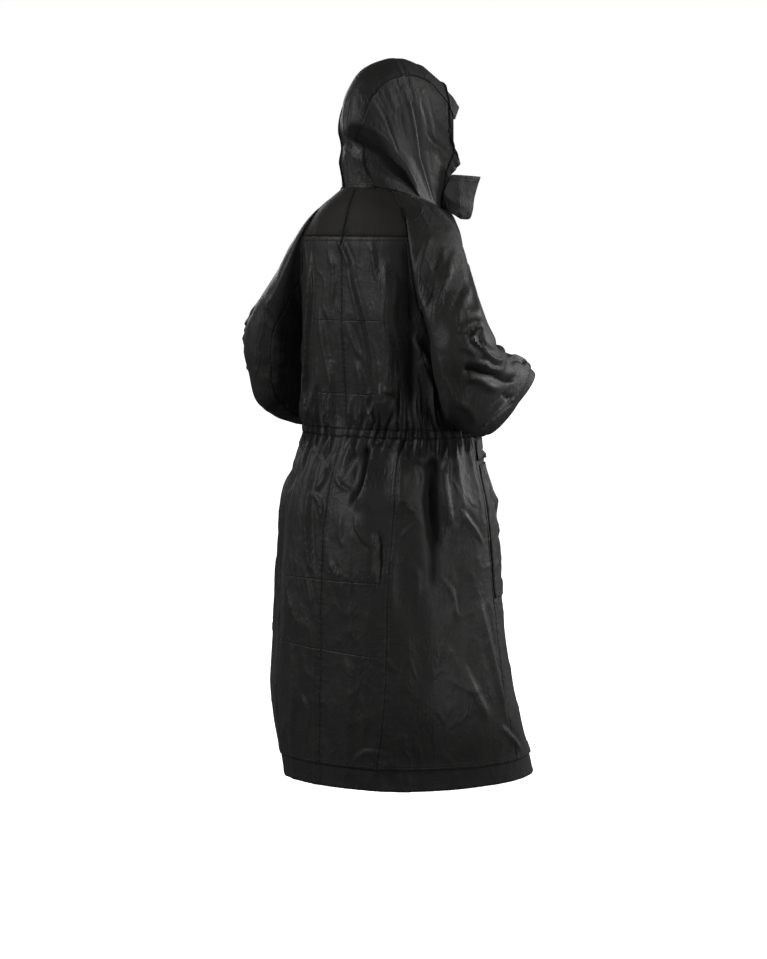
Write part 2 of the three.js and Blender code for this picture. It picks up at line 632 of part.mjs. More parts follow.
function archPoint(arch, step, side) {
  const row = sampleTable(hoodArches, 'arch', arch);
  const last = hoodArches.length - 1;
  const foot = mix(HOOD_NECK_END, HOOD_NECK_BACK, arch / last);
  const here = neckPoint(side * foot);
  const middle = here.clone().add(neckPoint(-side * foot)).multiplyScalar(0.5);
  const turn = radians(90 * step / HOOD_STEPS);
  const power = 2 / row.square;
  const rise = Math.sin(turn) ** power;
  const near = (1 - rise) ** 3;
  const spread = Math.cos(turn) ** power - near;
  return middle.clone()
    .addScaledVector(hoodPlace(0, row.forward, row.z).sub(middle), rise)
    .addScaledVector(hoodAside, side * row.half * Math.max(0, spread))
    .addScaledVector(here.sub(middle), near);
}

function facePoint(step, side) {
  const row = sampleTable(faceEdge, 'step', step);
  const foot = neckPoint(side * HOOD_NECK_END);
  const edge = hoodPlace(side * row.aside, row.forward, row.z);
  return step < 1 ? foot.lerp(edge, step) : edge;
}

function hoodFoldHeight(arch, step) {
  let height = 0;
  for (const fold of hoodFolds) {
    height += fold.out * bell((arch - fold.arch) / fold.across) * bell((step - fold.step) / fold.along);
  }
  return height * THREE.MathUtils.smoothstep(step, 0, 2);
}

function hoodPoint(arch, step, side) {
  const base = archPoint(arch, step, side);
  const pull = Math.max(0, 1 - arch / HOOD_EDGE_ARCHES) ** 2;
  const edge = facePoint(step, side).sub(archPoint(0, step, side));
  base.addScaledVector(edge, pull);
  const middle = HOOD_CENTRE.clone().setZ(HOOD_MIDDLE_Z);
  const out = base.clone().sub(middle).normalize();
  const channel = bell((arch - 0.1) / 0.5) * THREE.MathUtils.smoothstep(step, 0.6, 1.4)
    * (1 - THREE.MathUtils.smoothstep(step, 5.2, 5.9));
  const gather = HOOD_GATHER_DEPTH * channel
    * Math.cos(2 * Math.PI * HOOD_GATHERS * step / HOOD_PANEL_STEP);
  return base.addScaledVector(out, hoodFoldHeight(arch, step) + gather);
}

function hood() {
  const arches = [HOOD_CHANNEL, 1.5, 2.2, 3, 4, 5, 6, 7, 8, 8.7, 9.4, 10.1, 10.8, 11.4, 12];
  const neckRow = (from, to, side) => {
    const angles = neckAngles.filter((angle) => angle <= HOOD_NECK_CORNER);
    const at = angles.map((angle) => HOOD_STEPS * (1 - angle / HOOD_NECK_CORNER));
    const kept = at.map((step, i) => ({ step, p: neckPoint(side * angles[i]) }))
      .filter(({ step }) => step >= from - 1e-6 && step <= to + 1e-6);
    kept.sort((a, b) => a.step - b.step);
    return { at: kept.map(({ step }) => step), points: kept.map(({ p }) => p) };
  };
  const archRow = (arch, from, to, side, count = to - from) => {
    const at = steps(from, to, count);
    return { at, points: at.map((step) => hoodPoint(arch, step, side)) };
  };
  // The neck's corner between two panels must lie on a shared neck point.
  const panelAngle = neckAngles.filter((angle) => angle < HOOD_NECK_CORNER / 3 + 4).pop();
  const panelStep = HOOD_STEPS * (1 - panelAngle / HOOD_NECK_CORNER);
  for (const [sideName, side] of [['left', 1], ['right', -1]]) {
    const rows = arches.map((arch) => archRow(arch, 0, HOOD_PANEL_STEP, side));
    rows.push(neckRow(0, panelStep, side));
    addPiece(`hood_side_${sideName}`, rows, cloth, { flip: side < 0 });
    const channelRows = [0, HOOD_CHANNEL / 2, HOOD_CHANNEL].map((arch, i) => archRow(
      arch, 0, HOOD_PANEL_STEP, side, i === 2 ? HOOD_PANEL_STEP : HOOD_PANEL_STEP * HOOD_GATHERS / 3));
    addPiece(`hood_channel_${sideName}`, channelRows, trimCloth, { flip: side < 0, wide: true });
  }
  const across = (left, right) => ({
    at: [...left.at, ...[...right.at].reverse().slice(1).map((step) => 2 * HOOD_STEPS - step)],
    points: [...left.points, ...[...right.points].reverse().slice(1)],
  });
  const centreRows = arches.map((arch) => across(
    archRow(arch, HOOD_PANEL_STEP, HOOD_STEPS, 1), archRow(arch, HOOD_PANEL_STEP, HOOD_STEPS, -1)));
  centreRows.push(across(neckRow(panelStep, HOOD_STEPS, 1), neckRow(panelStep, HOOD_STEPS, -1)));
  addPiece('hood_centre', centreRows, cloth);

  const peak = (reach) => {
    const half = (side) => {
      const at = steps(HOOD_PANEL_STEP, HOOD_STEPS, 3);
      const points = at.map((step) => {
        const p = hoodPoint(0, step, side);
        const share = Math.sin(Math.PI / 2 * (step - HOOD_PANEL_STEP) / (HOOD_STEPS - HOOD_PANEL_STEP));
        const forward = mix(BRIM_SIDE.forward, BRIM_MIDDLE.forward, share);
        const down = mix(BRIM_SIDE.down, BRIM_MIDDLE.down, share);
        return p.addScaledVector(hoodForward, forward * reach).setZ(p.z - down * reach);
      });
      return { at, points };
    };
    return across(half(1), half(-1));
  };
  const visorRows = [peak(1), peak(0.5),
    ...[0, HOOD_CHANNEL / 2].map((arch) => across(
      archRow(arch, HOOD_PANEL_STEP, HOOD_STEPS, 1), archRow(arch, HOOD_PANEL_STEP, HOOD_STEPS, -1))),
    centreRows[0]];
  addPiece('hood_visor', visorRows, trimCloth);
}

// Open throat flaps that stand forward from the lower face edge.
const flapOutline = [
  // step: place on the face edge, then the flap's free edge opposite to it
  { step: 0.4, aside: 54, forward: 130, z: -50 },
  { step: 0.7, aside: 50, forward: 155, z: -50 },
  { step: 1, aside: 48, forward: 165, z: -34 },
  { step: 1.5, aside: 46, forward: 174, z: 4 },
  { step: 2, aside: 45, forward: 188, z: 46 },
];

function throatFlap(sideName, side) {
  const rows = flapOutline.map(({ step, aside, forward, z }) => {
    const root = facePoint(step, side).addScaledVector(hoodForward, FLAP_START);
    const edge = hoodPlace(side * aside, forward, z);
    const at = steps(0, 1, 6);
    const points = at.map((t) => {
      const p = root.clone().lerp(edge, t);
      p.z = mix(root.z, edge.z, z < 0 ? t ** FLAP_DROP : t);
      return p.addScaledVector(hoodAside, side * FLAP_BULGE * Math.sin(Math.PI * t));
    });
    return { at, points };
  });
  addPiece(`throat_flap_${sideName}`, rows, cloth, { flip: side < 0, alone: true });
}

// Sewn-on pieces follow the straight-sided facets of the panel below them.
function facetPoint(base, angle, z) {
  const rows = base.rows.filter((row) => row.z !== undefined);
  let r = 0;
  while (r < rows.length - 2 && z < rows[r + 1].z) r += 1;
  const along = (row) => {
    let i = 0;
    while (i < row.at.length - 2 && angle > row.at[i + 1]) i += 1;
    const t = (angle - row.at[i]) / (row.at[i + 1] - row.at[i]);
    return row.points[i].clone().lerp(row.points[i + 1], t);
  };
  const t = (rows[r].z - z) / (rows[r].z - rows[r + 1].z);
  return along(rows[r]).lerp(along(rows[r + 1]), t);
}

function onPanel(bases, side, angle, z, lift) {
  const base = bases.find(({ rows }) => z >= rows[rows.length - 1].z - 1e-6) || bases[bases.length - 1];
  return facetPoint(base, angle, z).addScaledVector(bodyNormal(side * angle, z), lift);
}

function byName(name) {
  return pieces.find((piece) => piece.name === name);
}

function frontAngle(x, z) {
  const row = sampleTable(bodySections, 'z', z);
  return 180 - THREE.MathUtils.radToDeg(Math.asin((x / row.half) ** (row.chest / 2)));
}

function frontStrip(name, half, top, bottom, lift, finish) {
  const levels = [top, ...shoulderRows.map((row) => row.z), YOKE_Z, ...upperRows.map((row) => row.z),
    ...skirtRows.map((row) => row.z), bottom]
    .filter((z, i, all) => z <= top && z >= bottom && all.indexOf(z) === i);
  const bases = { left: [], right: [] };
  for (const sideName of ['left', 'right']) {
    for (const panel of ['front_', 'waist_casing_', 'skirt_front_']) {
      bases[sideName].push(byName(panel + sideName));
    }
  }
  const rows = levels.map((z) => {
    const at = [half, 0, -half];
    const points = at.map((x) => {
      const sideName = x >= 0 ? 'left' : 'right';
      return onPanel(bases[sideName], x >= 0 ? 1 : -1, frontAngle(Math.abs(x), z), z, lift);
    });
    return { at: at.map((x) => -x), points };
  });
  addPiece(name, rows, finish, { alone: true, flip: true });
}

// A patch on the body between two angles and two levels, with an optional slanted rear edge.
// lift: clear space over the smooth form of the body, flare: extra space at the lower edge.
function bodyPatch(name, sideName, area, finish) {
  const side = sideName === 'left' ? 1 : -1;
  const rows = area.levels.map((z) => {
    const from = area.rear ? sampleTable(area.rear, 'z', z).angle : area.from;
    const at = steps(from, area.to, area.columns);
    const points = at.map((angle) => {
      const flare = (area.flare || 0) * (area.levels[0] - z) / (area.levels[0] - area.levels.at(-1));
      const lift = area.lift + WALL + GATHER_DEPTH * gatherFade(angle, z) + flare;
      return bodyPoint(side * angle, z, false).addScaledVector(bodyNormal(side * angle, z), lift);
    });
    return { at, points };
  });
  addPiece(`${name}_${sideName}`, rows, finish, { alone: true, flip: side > 0 });
}

const pocketArea = {
  to: 148, columns: 8, lift: 1.6, levels: [-597, -640, -700, -765, -830, -893],
  rear: [{ z: -597, angle: 112 }, { z: -640, angle: 110 }, { z: -793, angle: 107 }, { z: -893, angle: 107 }],
};
const pocketFlapArea = { from: 108, to: 141, columns: 12, lift: 0.9, levels: [-541, -564, -588], flare: 2 };
const chestFlapArea = { from: 127, to: 156, columns: 6, lift: 0.6, levels: [-186, -208, -230], flare: 9 };

bodyHalf('left', 1);
bodyHalf('right', -1);
const leftSleeve = sleeveSurface();
sleeve('left', 1, leftSleeve);
sleeve('right', -1, leftSleeve);
hood();
throatFlap('left', 1);
throatFlap('right', -1);
frontStrip('front_placket', PLACKET_HALF, PLACKET_TOP, PLACKET_BOTTOM, LIFT + WALL, trimCloth);
frontStrip('front_zip', ZIP_HALF, ZIP_TOP, ZIP_BOTTOM, ZIP_LIFT, tapeCloth);
for (const sideName of ['left', 'right']) {
  bodyPatch('pocket', sideName, pocketArea, cloth);
  bodyPatch('pocket_flap', sideName, pocketFlapArea, trimCloth);
  bodyPatch('chest_flap', sideName, chestFlapArea, trimCloth);
}

pieces.forEach(layOut);
shareNormals(pieces.filter((piece) => !piece.alone));
pieces.filter((piece) => piece.alone).forEach((piece) => shareNormals([piece]));

const parka = new THREE.Group();
parka.name = 'parka';
pieces.forEach((piece) => parka.add(clothMesh(piece)));

export default parka;
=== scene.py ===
import math

import bpy
import numpy as np
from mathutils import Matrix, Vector


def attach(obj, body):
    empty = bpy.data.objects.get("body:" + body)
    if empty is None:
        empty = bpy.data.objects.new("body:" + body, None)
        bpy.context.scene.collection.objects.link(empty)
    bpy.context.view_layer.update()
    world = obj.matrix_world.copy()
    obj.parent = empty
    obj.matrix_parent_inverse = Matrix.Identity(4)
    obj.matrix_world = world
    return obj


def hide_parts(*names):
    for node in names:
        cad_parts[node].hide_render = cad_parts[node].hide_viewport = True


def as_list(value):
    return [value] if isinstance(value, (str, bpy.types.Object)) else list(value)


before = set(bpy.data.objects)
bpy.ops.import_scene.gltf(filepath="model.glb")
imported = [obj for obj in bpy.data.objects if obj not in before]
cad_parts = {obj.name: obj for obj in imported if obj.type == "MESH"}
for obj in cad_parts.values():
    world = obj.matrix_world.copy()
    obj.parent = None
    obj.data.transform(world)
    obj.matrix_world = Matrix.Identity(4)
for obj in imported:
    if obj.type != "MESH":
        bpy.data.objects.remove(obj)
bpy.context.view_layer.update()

# Camera: it stands behind the parka on its right and looks slightly down.
cameraValues = {
    "distance": 7.3, "height": -0.041, "pitch": 4.68, "azimuth": -135.0,
    "focalPixels": 3230.0, "axisPixel": 385.0, "imageWidth": 767.0, "imageHeight": 959.0, "sensor": 36.0,
}
cameraData = bpy.data.cameras.new("camera")
cameraData.sensor_width = cameraValues["sensor"]
cameraData.lens = cameraValues["focalPixels"] * cameraValues["sensor"] / cameraValues["imageHeight"]
aside = cameraValues["imageWidth"] / 2 - cameraValues["axisPixel"]
cameraData.shift_x = aside / cameraValues["imageHeight"]
camera = bpy.data.objects.new("camera", cameraData)
bpy.context.scene.collection.objects.link(camera)
halfRight = cameraValues["distance"] * math.sqrt(0.5)   # the same distance behind and to the right
cameraPlace = (-halfRight, halfRight, cameraValues["height"])
camera.location = cameraPlace
camera.rotation_euler = (math.radians(90 - cameraValues["pitch"]), 0.0, math.radians(cameraValues["azimuth"]))
bpy.context.scene.camera = camera
print("camera set")

# The solids' forms in millimetres, repeated from their tables, then refined.
neckLevel, yokeLevel, underarmLevel = -3.0, -88.0, -300.0
casingTop, casingBottom = -515.0, -534.0
skirtEdge, hemTop, hemBottom = -1265.0, -1252.0, -1314.0
backSeamTop, backSeamBottom = 42.5, 29.5   # degrees from the centre back
sideSeam = 105.0   # degrees
hoodSteps = 9.0    # columns from the neck to the crown on each half
hoodChannel = 0.8  # width of the gathered face channel, in arches
hoodFoot, hoodLowFoot, hoodCorner = 140.0, 84.0, 78.0   # neck angles of the face edge, lowest arch and corner
hoodCentre, hoodMiddle = np.array([-10.0, -35.0, 0.0]), np.array([0, 0, 120.0])
hoodTurn = math.radians(15.0)
edgeArches, lowestArch = 4, 12   # how far the face edge shapes the hood, and the last arch above the neck
farAway = 900.0    # a distance that no stitch or seam reaches

# z, half, back, front, side, square, chest, tilt
bodySections = np.array([
    (-3, 98, 89, 143, 0, 2.2, 2.1, 30),
    (-25, 155, 108, 143, 0, 2.3, 1.9, 14),
    (-57, 195, 122, 140, 0, 2.35, 1.75, 5),
    (-88, 215, 133, 139, 0, 2.4, 1.7, 0),
    (-134, 216, 136, 142, 0, 2.4, 1.8, 0),
    (-188, 214, 137, 152, 0, 2.4, 2, 0),
    (-300, 209, 134.5, 160, 0, 2.6, 2.4, 0),
    (-400, 210, 127, 160, 0, 2.7, 2.7, 0),
    (-450, 211, 122, 160, 0, 2.8, 2.8, 0),
    (-490, 214, 124, 161, -6, 2.7, 2.7, 0),
    (-525, 217, 131, 174, -18, 2.4, 2.4, 0),
    (-588, 234, 159, 177, -10, 2.2, 2.2, 0),
    (-685, 264, 187, 189, -2, 2.2, 2.2, 0),
    (-775, 272, 197, 203, -4, 2.2, 2.2, 0),
    (-911, 283, 203, 216, -8, 2.2, 2.2, 0),
    (-1024, 297, 204, 227, -13, 2.2, 2.2, 0),
    (-1143, 308, 208, 252, -24, 2.2, 2.2, 0),
    (-1198, 303, 208, 280, -40, 2.2, 2.2, 0),
    (-1254, 290, 208, 323, -58, 2.2, 2.2, 0),
    (-1314, 277, 208, 358, -74, 2.2, 2.2, 0),
])

# z, back angle, front angle
raglanRows = np.array([
    (-3, 50, 135), (-25, 49.5, 134), (-57, 48.5, 132), (-88, 48, 130), (-130, 50, 128),
    (-170, 52.5, 126), (-210, 55.5, 123), (-250, 60, 119), (-280, 71, 107), (-300, 90, 90),
])

# angle, top, bottom, out, width
bodyFolds = [
    (20, -330, -530, 4, 7), (-10, -300, -530, 3.5, 6), (-25, -280, -540, 5, 6), (-42, -240, -530, -5, 8),
    (38, -200, -520, -4, 7), (132, -240, -520, 5, 8), (-132, -240, -520, 5, 8), (155, -200, -520, -4, 7),
    (-152, -220, -520, -4, 8), (22, -560, -1230, 7, 7), (5, -550, -900, -4, 7), (-13, -545, -760, -7, 7),
    (-25, -550, -1180, 6, 7), (-42, -560, -930, -6, 8), (-58, -570, -1240, 7, 9), (-77, -600, -1240, -6, 9),
    (43, -570, -1240, -7, 9), (62, -560, -1240, 7, 9), (82, -580, -1240, -6, 9), (160, -900, -1260, -5, 8),
    (-162, -880, -1260, -5, 8),
]

# outer, back, inner and front of each ring of the left sleeve
sleeveRings = np.array([
    [(157, 16, -27), (186, 107, -128), (219, 2, -307), (186, -60, -140)],
    [(216, 20, -81), (211, 119, -180), (223, 8, -314), (205, -50, -180)],
    [(251, 30, -135), (230, 126, -215), (226, 16, -321), (226, -42, -222)],
    [(328, 56, -242), (263, 132, -270), (229, 23, -331), (262, -33, -287)],
    [(366, 62, -298), (282, 132, -322), (231, 26, -343), (268, -36, -316)],
    [(376, 54, -352), (292, 126, -390), (232, 24, -361), (272, -56, -322)],
    [(358, 26, -398), (296, 104, -463), (228, 12, -388), (270, -76, -330)],
    [(346, -10, -424), (286, 62, -503), (226, -18, -415), (264, -104, -339)],
    [(322, -62, -434), (280, 13, -523), (225, -62, -432), (258, -152, -357)],
    [(311, -98, -445), (275, -21, -529), (220, -102, -446), (254, -192, -369)],
    [(298, -128, -458), (268, -50, -530), (213, -130, -457), (251, -225, -391)],
], dtype=float)

# ring, turn, out, along, around
sleeveFolds = [
    (6.1, 275, -10, 0.55, 60), (5.1, 280, 7, 0.5, 50), (7.2, 285, 7, 0.6, 45), (8.0, 300, -6, 0.5, 40),
    (6.3, 55, -6, 0.5, 40), (7.2, 80, 6, 0.6, 40), (3.2, 60, -5, 0.7, 25), (2.6, 25, 5, 0.8, 20),
]

# arch, forward, z, half, square
hoodArches = np.array([
    (0, 118, 238, 78, 2.4), (1, 98, 262, 88, 2.35), (2, 70, 285, 95, 2.3), (3, 30, 301, 101, 2.3),
    (4, -10, 308, 103, 2.3), (5, -52, 301, 104, 2.3), (6, -88, 282, 104, 2.3), (7, -113, 253, 103, 2.3),
    (8, -128, 218, 100, 2.3), (9, -135, 180, 97, 2.25), (10, -137, 140, 95, 2.2), (11, -132, 98, 92, 2.2),
    (12, -123, 60, 90, 2.2),
])

# step, aside, forward, z
faceEdge = np.array([
    (0, 60, 75, -26), (1, 64, 78, 10), (2, 72, 96, 50), (3, 74, 116, 78), (4, 82, 97, 110),
    (5, 85, 88, 142), (6, 78, 97, 176), (7, 58, 108, 208), (8, 30, 115, 230), (9, 0, 118, 238),
])

# arch, step, out, across, along
hoodFolds = [
    (10.2, 7.5, -7, 0.8, 3.5), (9.2, 4.5, 5, 0.9, 2.5), (11.6, 5, 5, 0.7, 3), (6.5, 4, -4, 1.2, 2),
]


def sample(table, at):
    keys, values = table[:, 0], table[:, 1:]
    if keys[0] > keys[-1]:
        keys, values = keys[::-1], values[::-1]
    return hermite(keys, values, at)


def hermite(keys, values, at):
    width = np.diff(keys)
    shape = (-1,) + (1,) * (values.ndim - 1)
    gap = np.diff(values, axis=0) / width.reshape(shape)
    slope = np.empty_like(values, dtype=float)
    slope[0], slope[-1] = gap[0], gap[-1]
    before, after = width[:-1].reshape(shape), width[1:].reshape(shape)
    slope[1:-1] = (gap[:-1] * after + gap[1:] * before) / (before + after)
    at = np.asarray(at, dtype=float)
    i = np.clip(np.searchsorted(keys, at, side="right") - 1, 0, len(keys) - 2)
    grow = at.shape + (1,) * (values.ndim - 1)
    span = width[i].reshape(grow)
    t = np.clip((at - keys[i]) / width[i], 0, 1).reshape(grow)
    return (
        values[i] * (2 * t ** 3 - 3 * t ** 2 + 1) + values[i + 1] * (3 * t ** 2 - 2 * t ** 3)
        + slope[i] * span * (t ** 3 - 2 * t ** 2 + t) + slope[i + 1] * span * (t ** 3 - t ** 2)
    )


def bell(distance):
    return np.exp(-distance * distance)


def foldSection(distance, width, round):
    # A fold's section: a round share and a sharper one.
    return round * bell(distance / width) + (1 - round) * np.exp(-1.3 * np.abs(distance) / width)


def smooth(low, high, value):
    t = np.clip((value - low) / (high - low), 0, 1)
    return t * t * (3 - 2 * t)


def unit(vectors):
    return vectors / np.maximum(np.linalg.norm(vectors, axis=-1, keepdims=True), 1e-9)


# Smooth random values from a fixed lattice, between -1 and 1.
lattice = np.random.default_rng(7).uniform(-1, 1, (32, 32, 32))


def cloud(points, sizes, shift=0.0):
    place = points / np.asarray(sizes, dtype=float) + 101.3 + shift
    low = np.floor(place).astype(int)
    part = place - low
    part = part * part * (3 - 2 * part)
    total = 0.0
    for corner in range(8):
        pick = np.array([corner & 1, corner >> 1 & 1, corner >> 2 & 1])
        share = np.prod(np.where(pick == 1, part, 1 - part), axis=-1)
        index = (low + pick) % 32
        total = total + share * lattice[index[..., 0], index[..., 1], index[..., 2]]
    return total


def bodyForm(angle, z):
    # Angles are in degrees from the centre back, levels in millimetres.
    angle, z = np.broadcast_arrays(np.asarray(angle, float), np.asarray(z, float))
    half, back, front, side, square, chest, tilt = np.moveaxis(sample(bodySections, z), -1, 0)
    turn = np.radians(angle)
    sine, cosine = np.sin(turn), np.cos(turn)
    power = 2 / np.where(cosine > 0, square, chest)
    reach = np.sign(sine) * np.abs(sine) ** power
    depth = np.abs(cosine) ** power
    y = np.where(cosine > 0, side + (back - side) * depth, side - (front + side) * depth)
    height = 0.0
    for middle, top, bottom, out, width in bodyFolds:
        rise = np.sin(np.pi * np.clip((top - z) / (top - bottom), 0, 1)) ** 2
        height = height + out * rise * bell((angle - middle) / width)
    grow = 1 + height / half
    return np.stack([half * reach * grow, y * grow, z + tilt * cosine], -1)


def bodyNormal(angle, z):
    across = bodyForm(angle + 1, z) - bodyForm(angle - 1, z)
    down = bodyForm(angle, z - 4) - bodyForm(angle, z + 4)
    return unit(np.cross(across, down))


def sleeveLoop(bodySurface, columns):
    # Columns 0 to 24: over the neck, down the back seam, up the front seam, back over the neck.
    neck = np.interp(columns, [0, 1, 2, 3, 21, 22, 23, 24], [92, 78, 64, 50, 135, 121, 107, 92])
    level, index = raglanRows[:, :1], np.arange(10, dtype=float)
    back, upper = columns <= 12, (columns <= 3) | (columns > 21)
    row = np.where(back, np.clip(columns - 3, 0, 9), np.clip(21 - columns, 0, 9))
    z = np.where(upper, neckLevel, hermite(index, level, row)[:, 0])
    angles = sample(raglanRows, z)
    overNeck = (columns < 3) | (columns > 21)
    return bodySurface(np.where(overNeck, neck, np.where(back, angles[:, 0], angles[:, 1])), z)


def stationPoints(ring, turns):
    centre = ring.mean(axis=0)
    quarter = (np.floor(turns / 90).astype(int)) % 4
    rest = np.radians(turns - 90 * np.floor(turns / 90))
    return (
        centre + (ring[quarter] - centre) * np.cos(rest)[:, None]
        + (ring[(quarter + 1) % 4] - centre) * np.sin(rest)[:, None]
    )


def sleeveLoops(bodySurface, columns):
    # The armhole and each ring, at the same columns.
    rings = [stationPoints(ring, columns % 24 * 15) for ring in sleeveRings]
    return np.array([sleeveLoop(bodySurface, columns)] + rings)


def sleeveReach(bodySurface):
    centres = sleeveLoops(bodySurface, np.arange(24.0)).mean(axis=1)
    steps = np.linalg.norm(np.diff(centres, axis=0), axis=1)
    return np.concatenate([[0], np.cumsum(steps)])


def sleeveForm(bodySurface, places, columns):
    # Points and outward directions, a row for each place along the sleeve.
    reaches = sleeveReach(bodySurface)
    along = np.interp(places, np.arange(len(reaches)), reaches)
    rings = hermite(reaches, sleeveLoops(bodySurface, columns), along)
    centres = sleeveLoops(bodySurface, np.arange(24.0)).mean(axis=1, keepdims=True)
    out = unit(rings - hermite(reaches, centres, along))
    height = np.zeros((len(places), len(columns)))
    turns = (columns * 15) % 360
    for ring, turn, rise, size, around in sleeveFolds:
        gap = np.abs((turns - turn + 540) % 360 - 180)
        height = height + rise * bell((places - ring) / size)[:, None] * bell(gap / around)[None]
    return rings + out * height[..., None], out


hoodAside = np.array([math.cos(hoodTurn), -math.sin(hoodTurn), 0.0])
hoodForward = np.array([-math.sin(hoodTurn), -math.cos(hoodTurn), 0.0])


def hoodPlace(aside, forward, z):
    aside, forward = np.asarray(aside)[..., None], np.asarray(forward)[..., None]
    flat = hoodCentre + aside * hoodAside + forward * hoodForward
    flat[..., 2] = z
    return flat


def archPoint(neck, arch, step, side):
    row = sample(hoodArches, arch)
    foot = hoodFoot + (hoodLowFoot - hoodFoot) * arch / lowestArch
    here, there = neck(side * foot), neck(-side * foot)
    middle = (here + there) / 2
    turn = np.radians(90 * step / hoodSteps)
    power = 2 / row[..., 3]
    rise = np.sin(turn) ** power
    near = (1 - rise) ** 3
    spread = np.maximum(0, np.cos(turn) ** power - near)
    top = hoodPlace(0 * row[..., 0], row[..., 0], row[..., 1])
    return (
        middle + (top - middle) * rise[..., None]
        + (side * row[..., 2] * spread)[..., None] * hoodAside + (here - middle) * near[..., None]
    )


def hoodForm(neck, arch, step, side):
    # From the lowest arch on, one more step closes the hood down to the neck seam.
    arch, step, side = np.broadcast_arrays(
        np.asarray(arch, float), np.asarray(step, float), np.asarray(side, float))
    upper = np.minimum(arch, lowestArch)
    base = archPoint(neck, upper, step, side)
    pull = np.maximum(0, 1 - upper / edgeArches) ** 2
    row = sample(faceEdge, step)
    edge = hoodPlace(side * row[..., 0], row[..., 1], row[..., 2])
    foot = neck(side * hoodFoot)
    low = np.clip(step, 0, 1)[..., None]
    edge = np.where(step[..., None] < 1, foot + (edge - foot) * low, edge)
    base = base + (edge - archPoint(neck, 0 * upper, step, side)) * pull[..., None]
    out = unit(base - (hoodCentre + hoodMiddle))
    height = 0.0
    for middle, at, rise, across, along in hoodFolds:
        height = height + rise * bell((upper - middle) / across) * bell((step - at) / along)
    height = height * smooth(0, 2, step)
    base = base + out * height[..., None]
    seam = neck(side * hoodCorner * (1 - step / hoodSteps))
    down = np.clip(arch - lowestArch, 0, 1)[..., None]
    return base + (seam - base) * down


def hoodColumn(neck, arch, column):
    arch, column = np.broadcast_arrays(np.asarray(arch, float), np.asarray(column, float))
    left = column <= hoodSteps
    return hoodForm(neck, arch, np.where(left, column, 2 * hoodSteps - column), np.where(left, 1.0, -1.0))


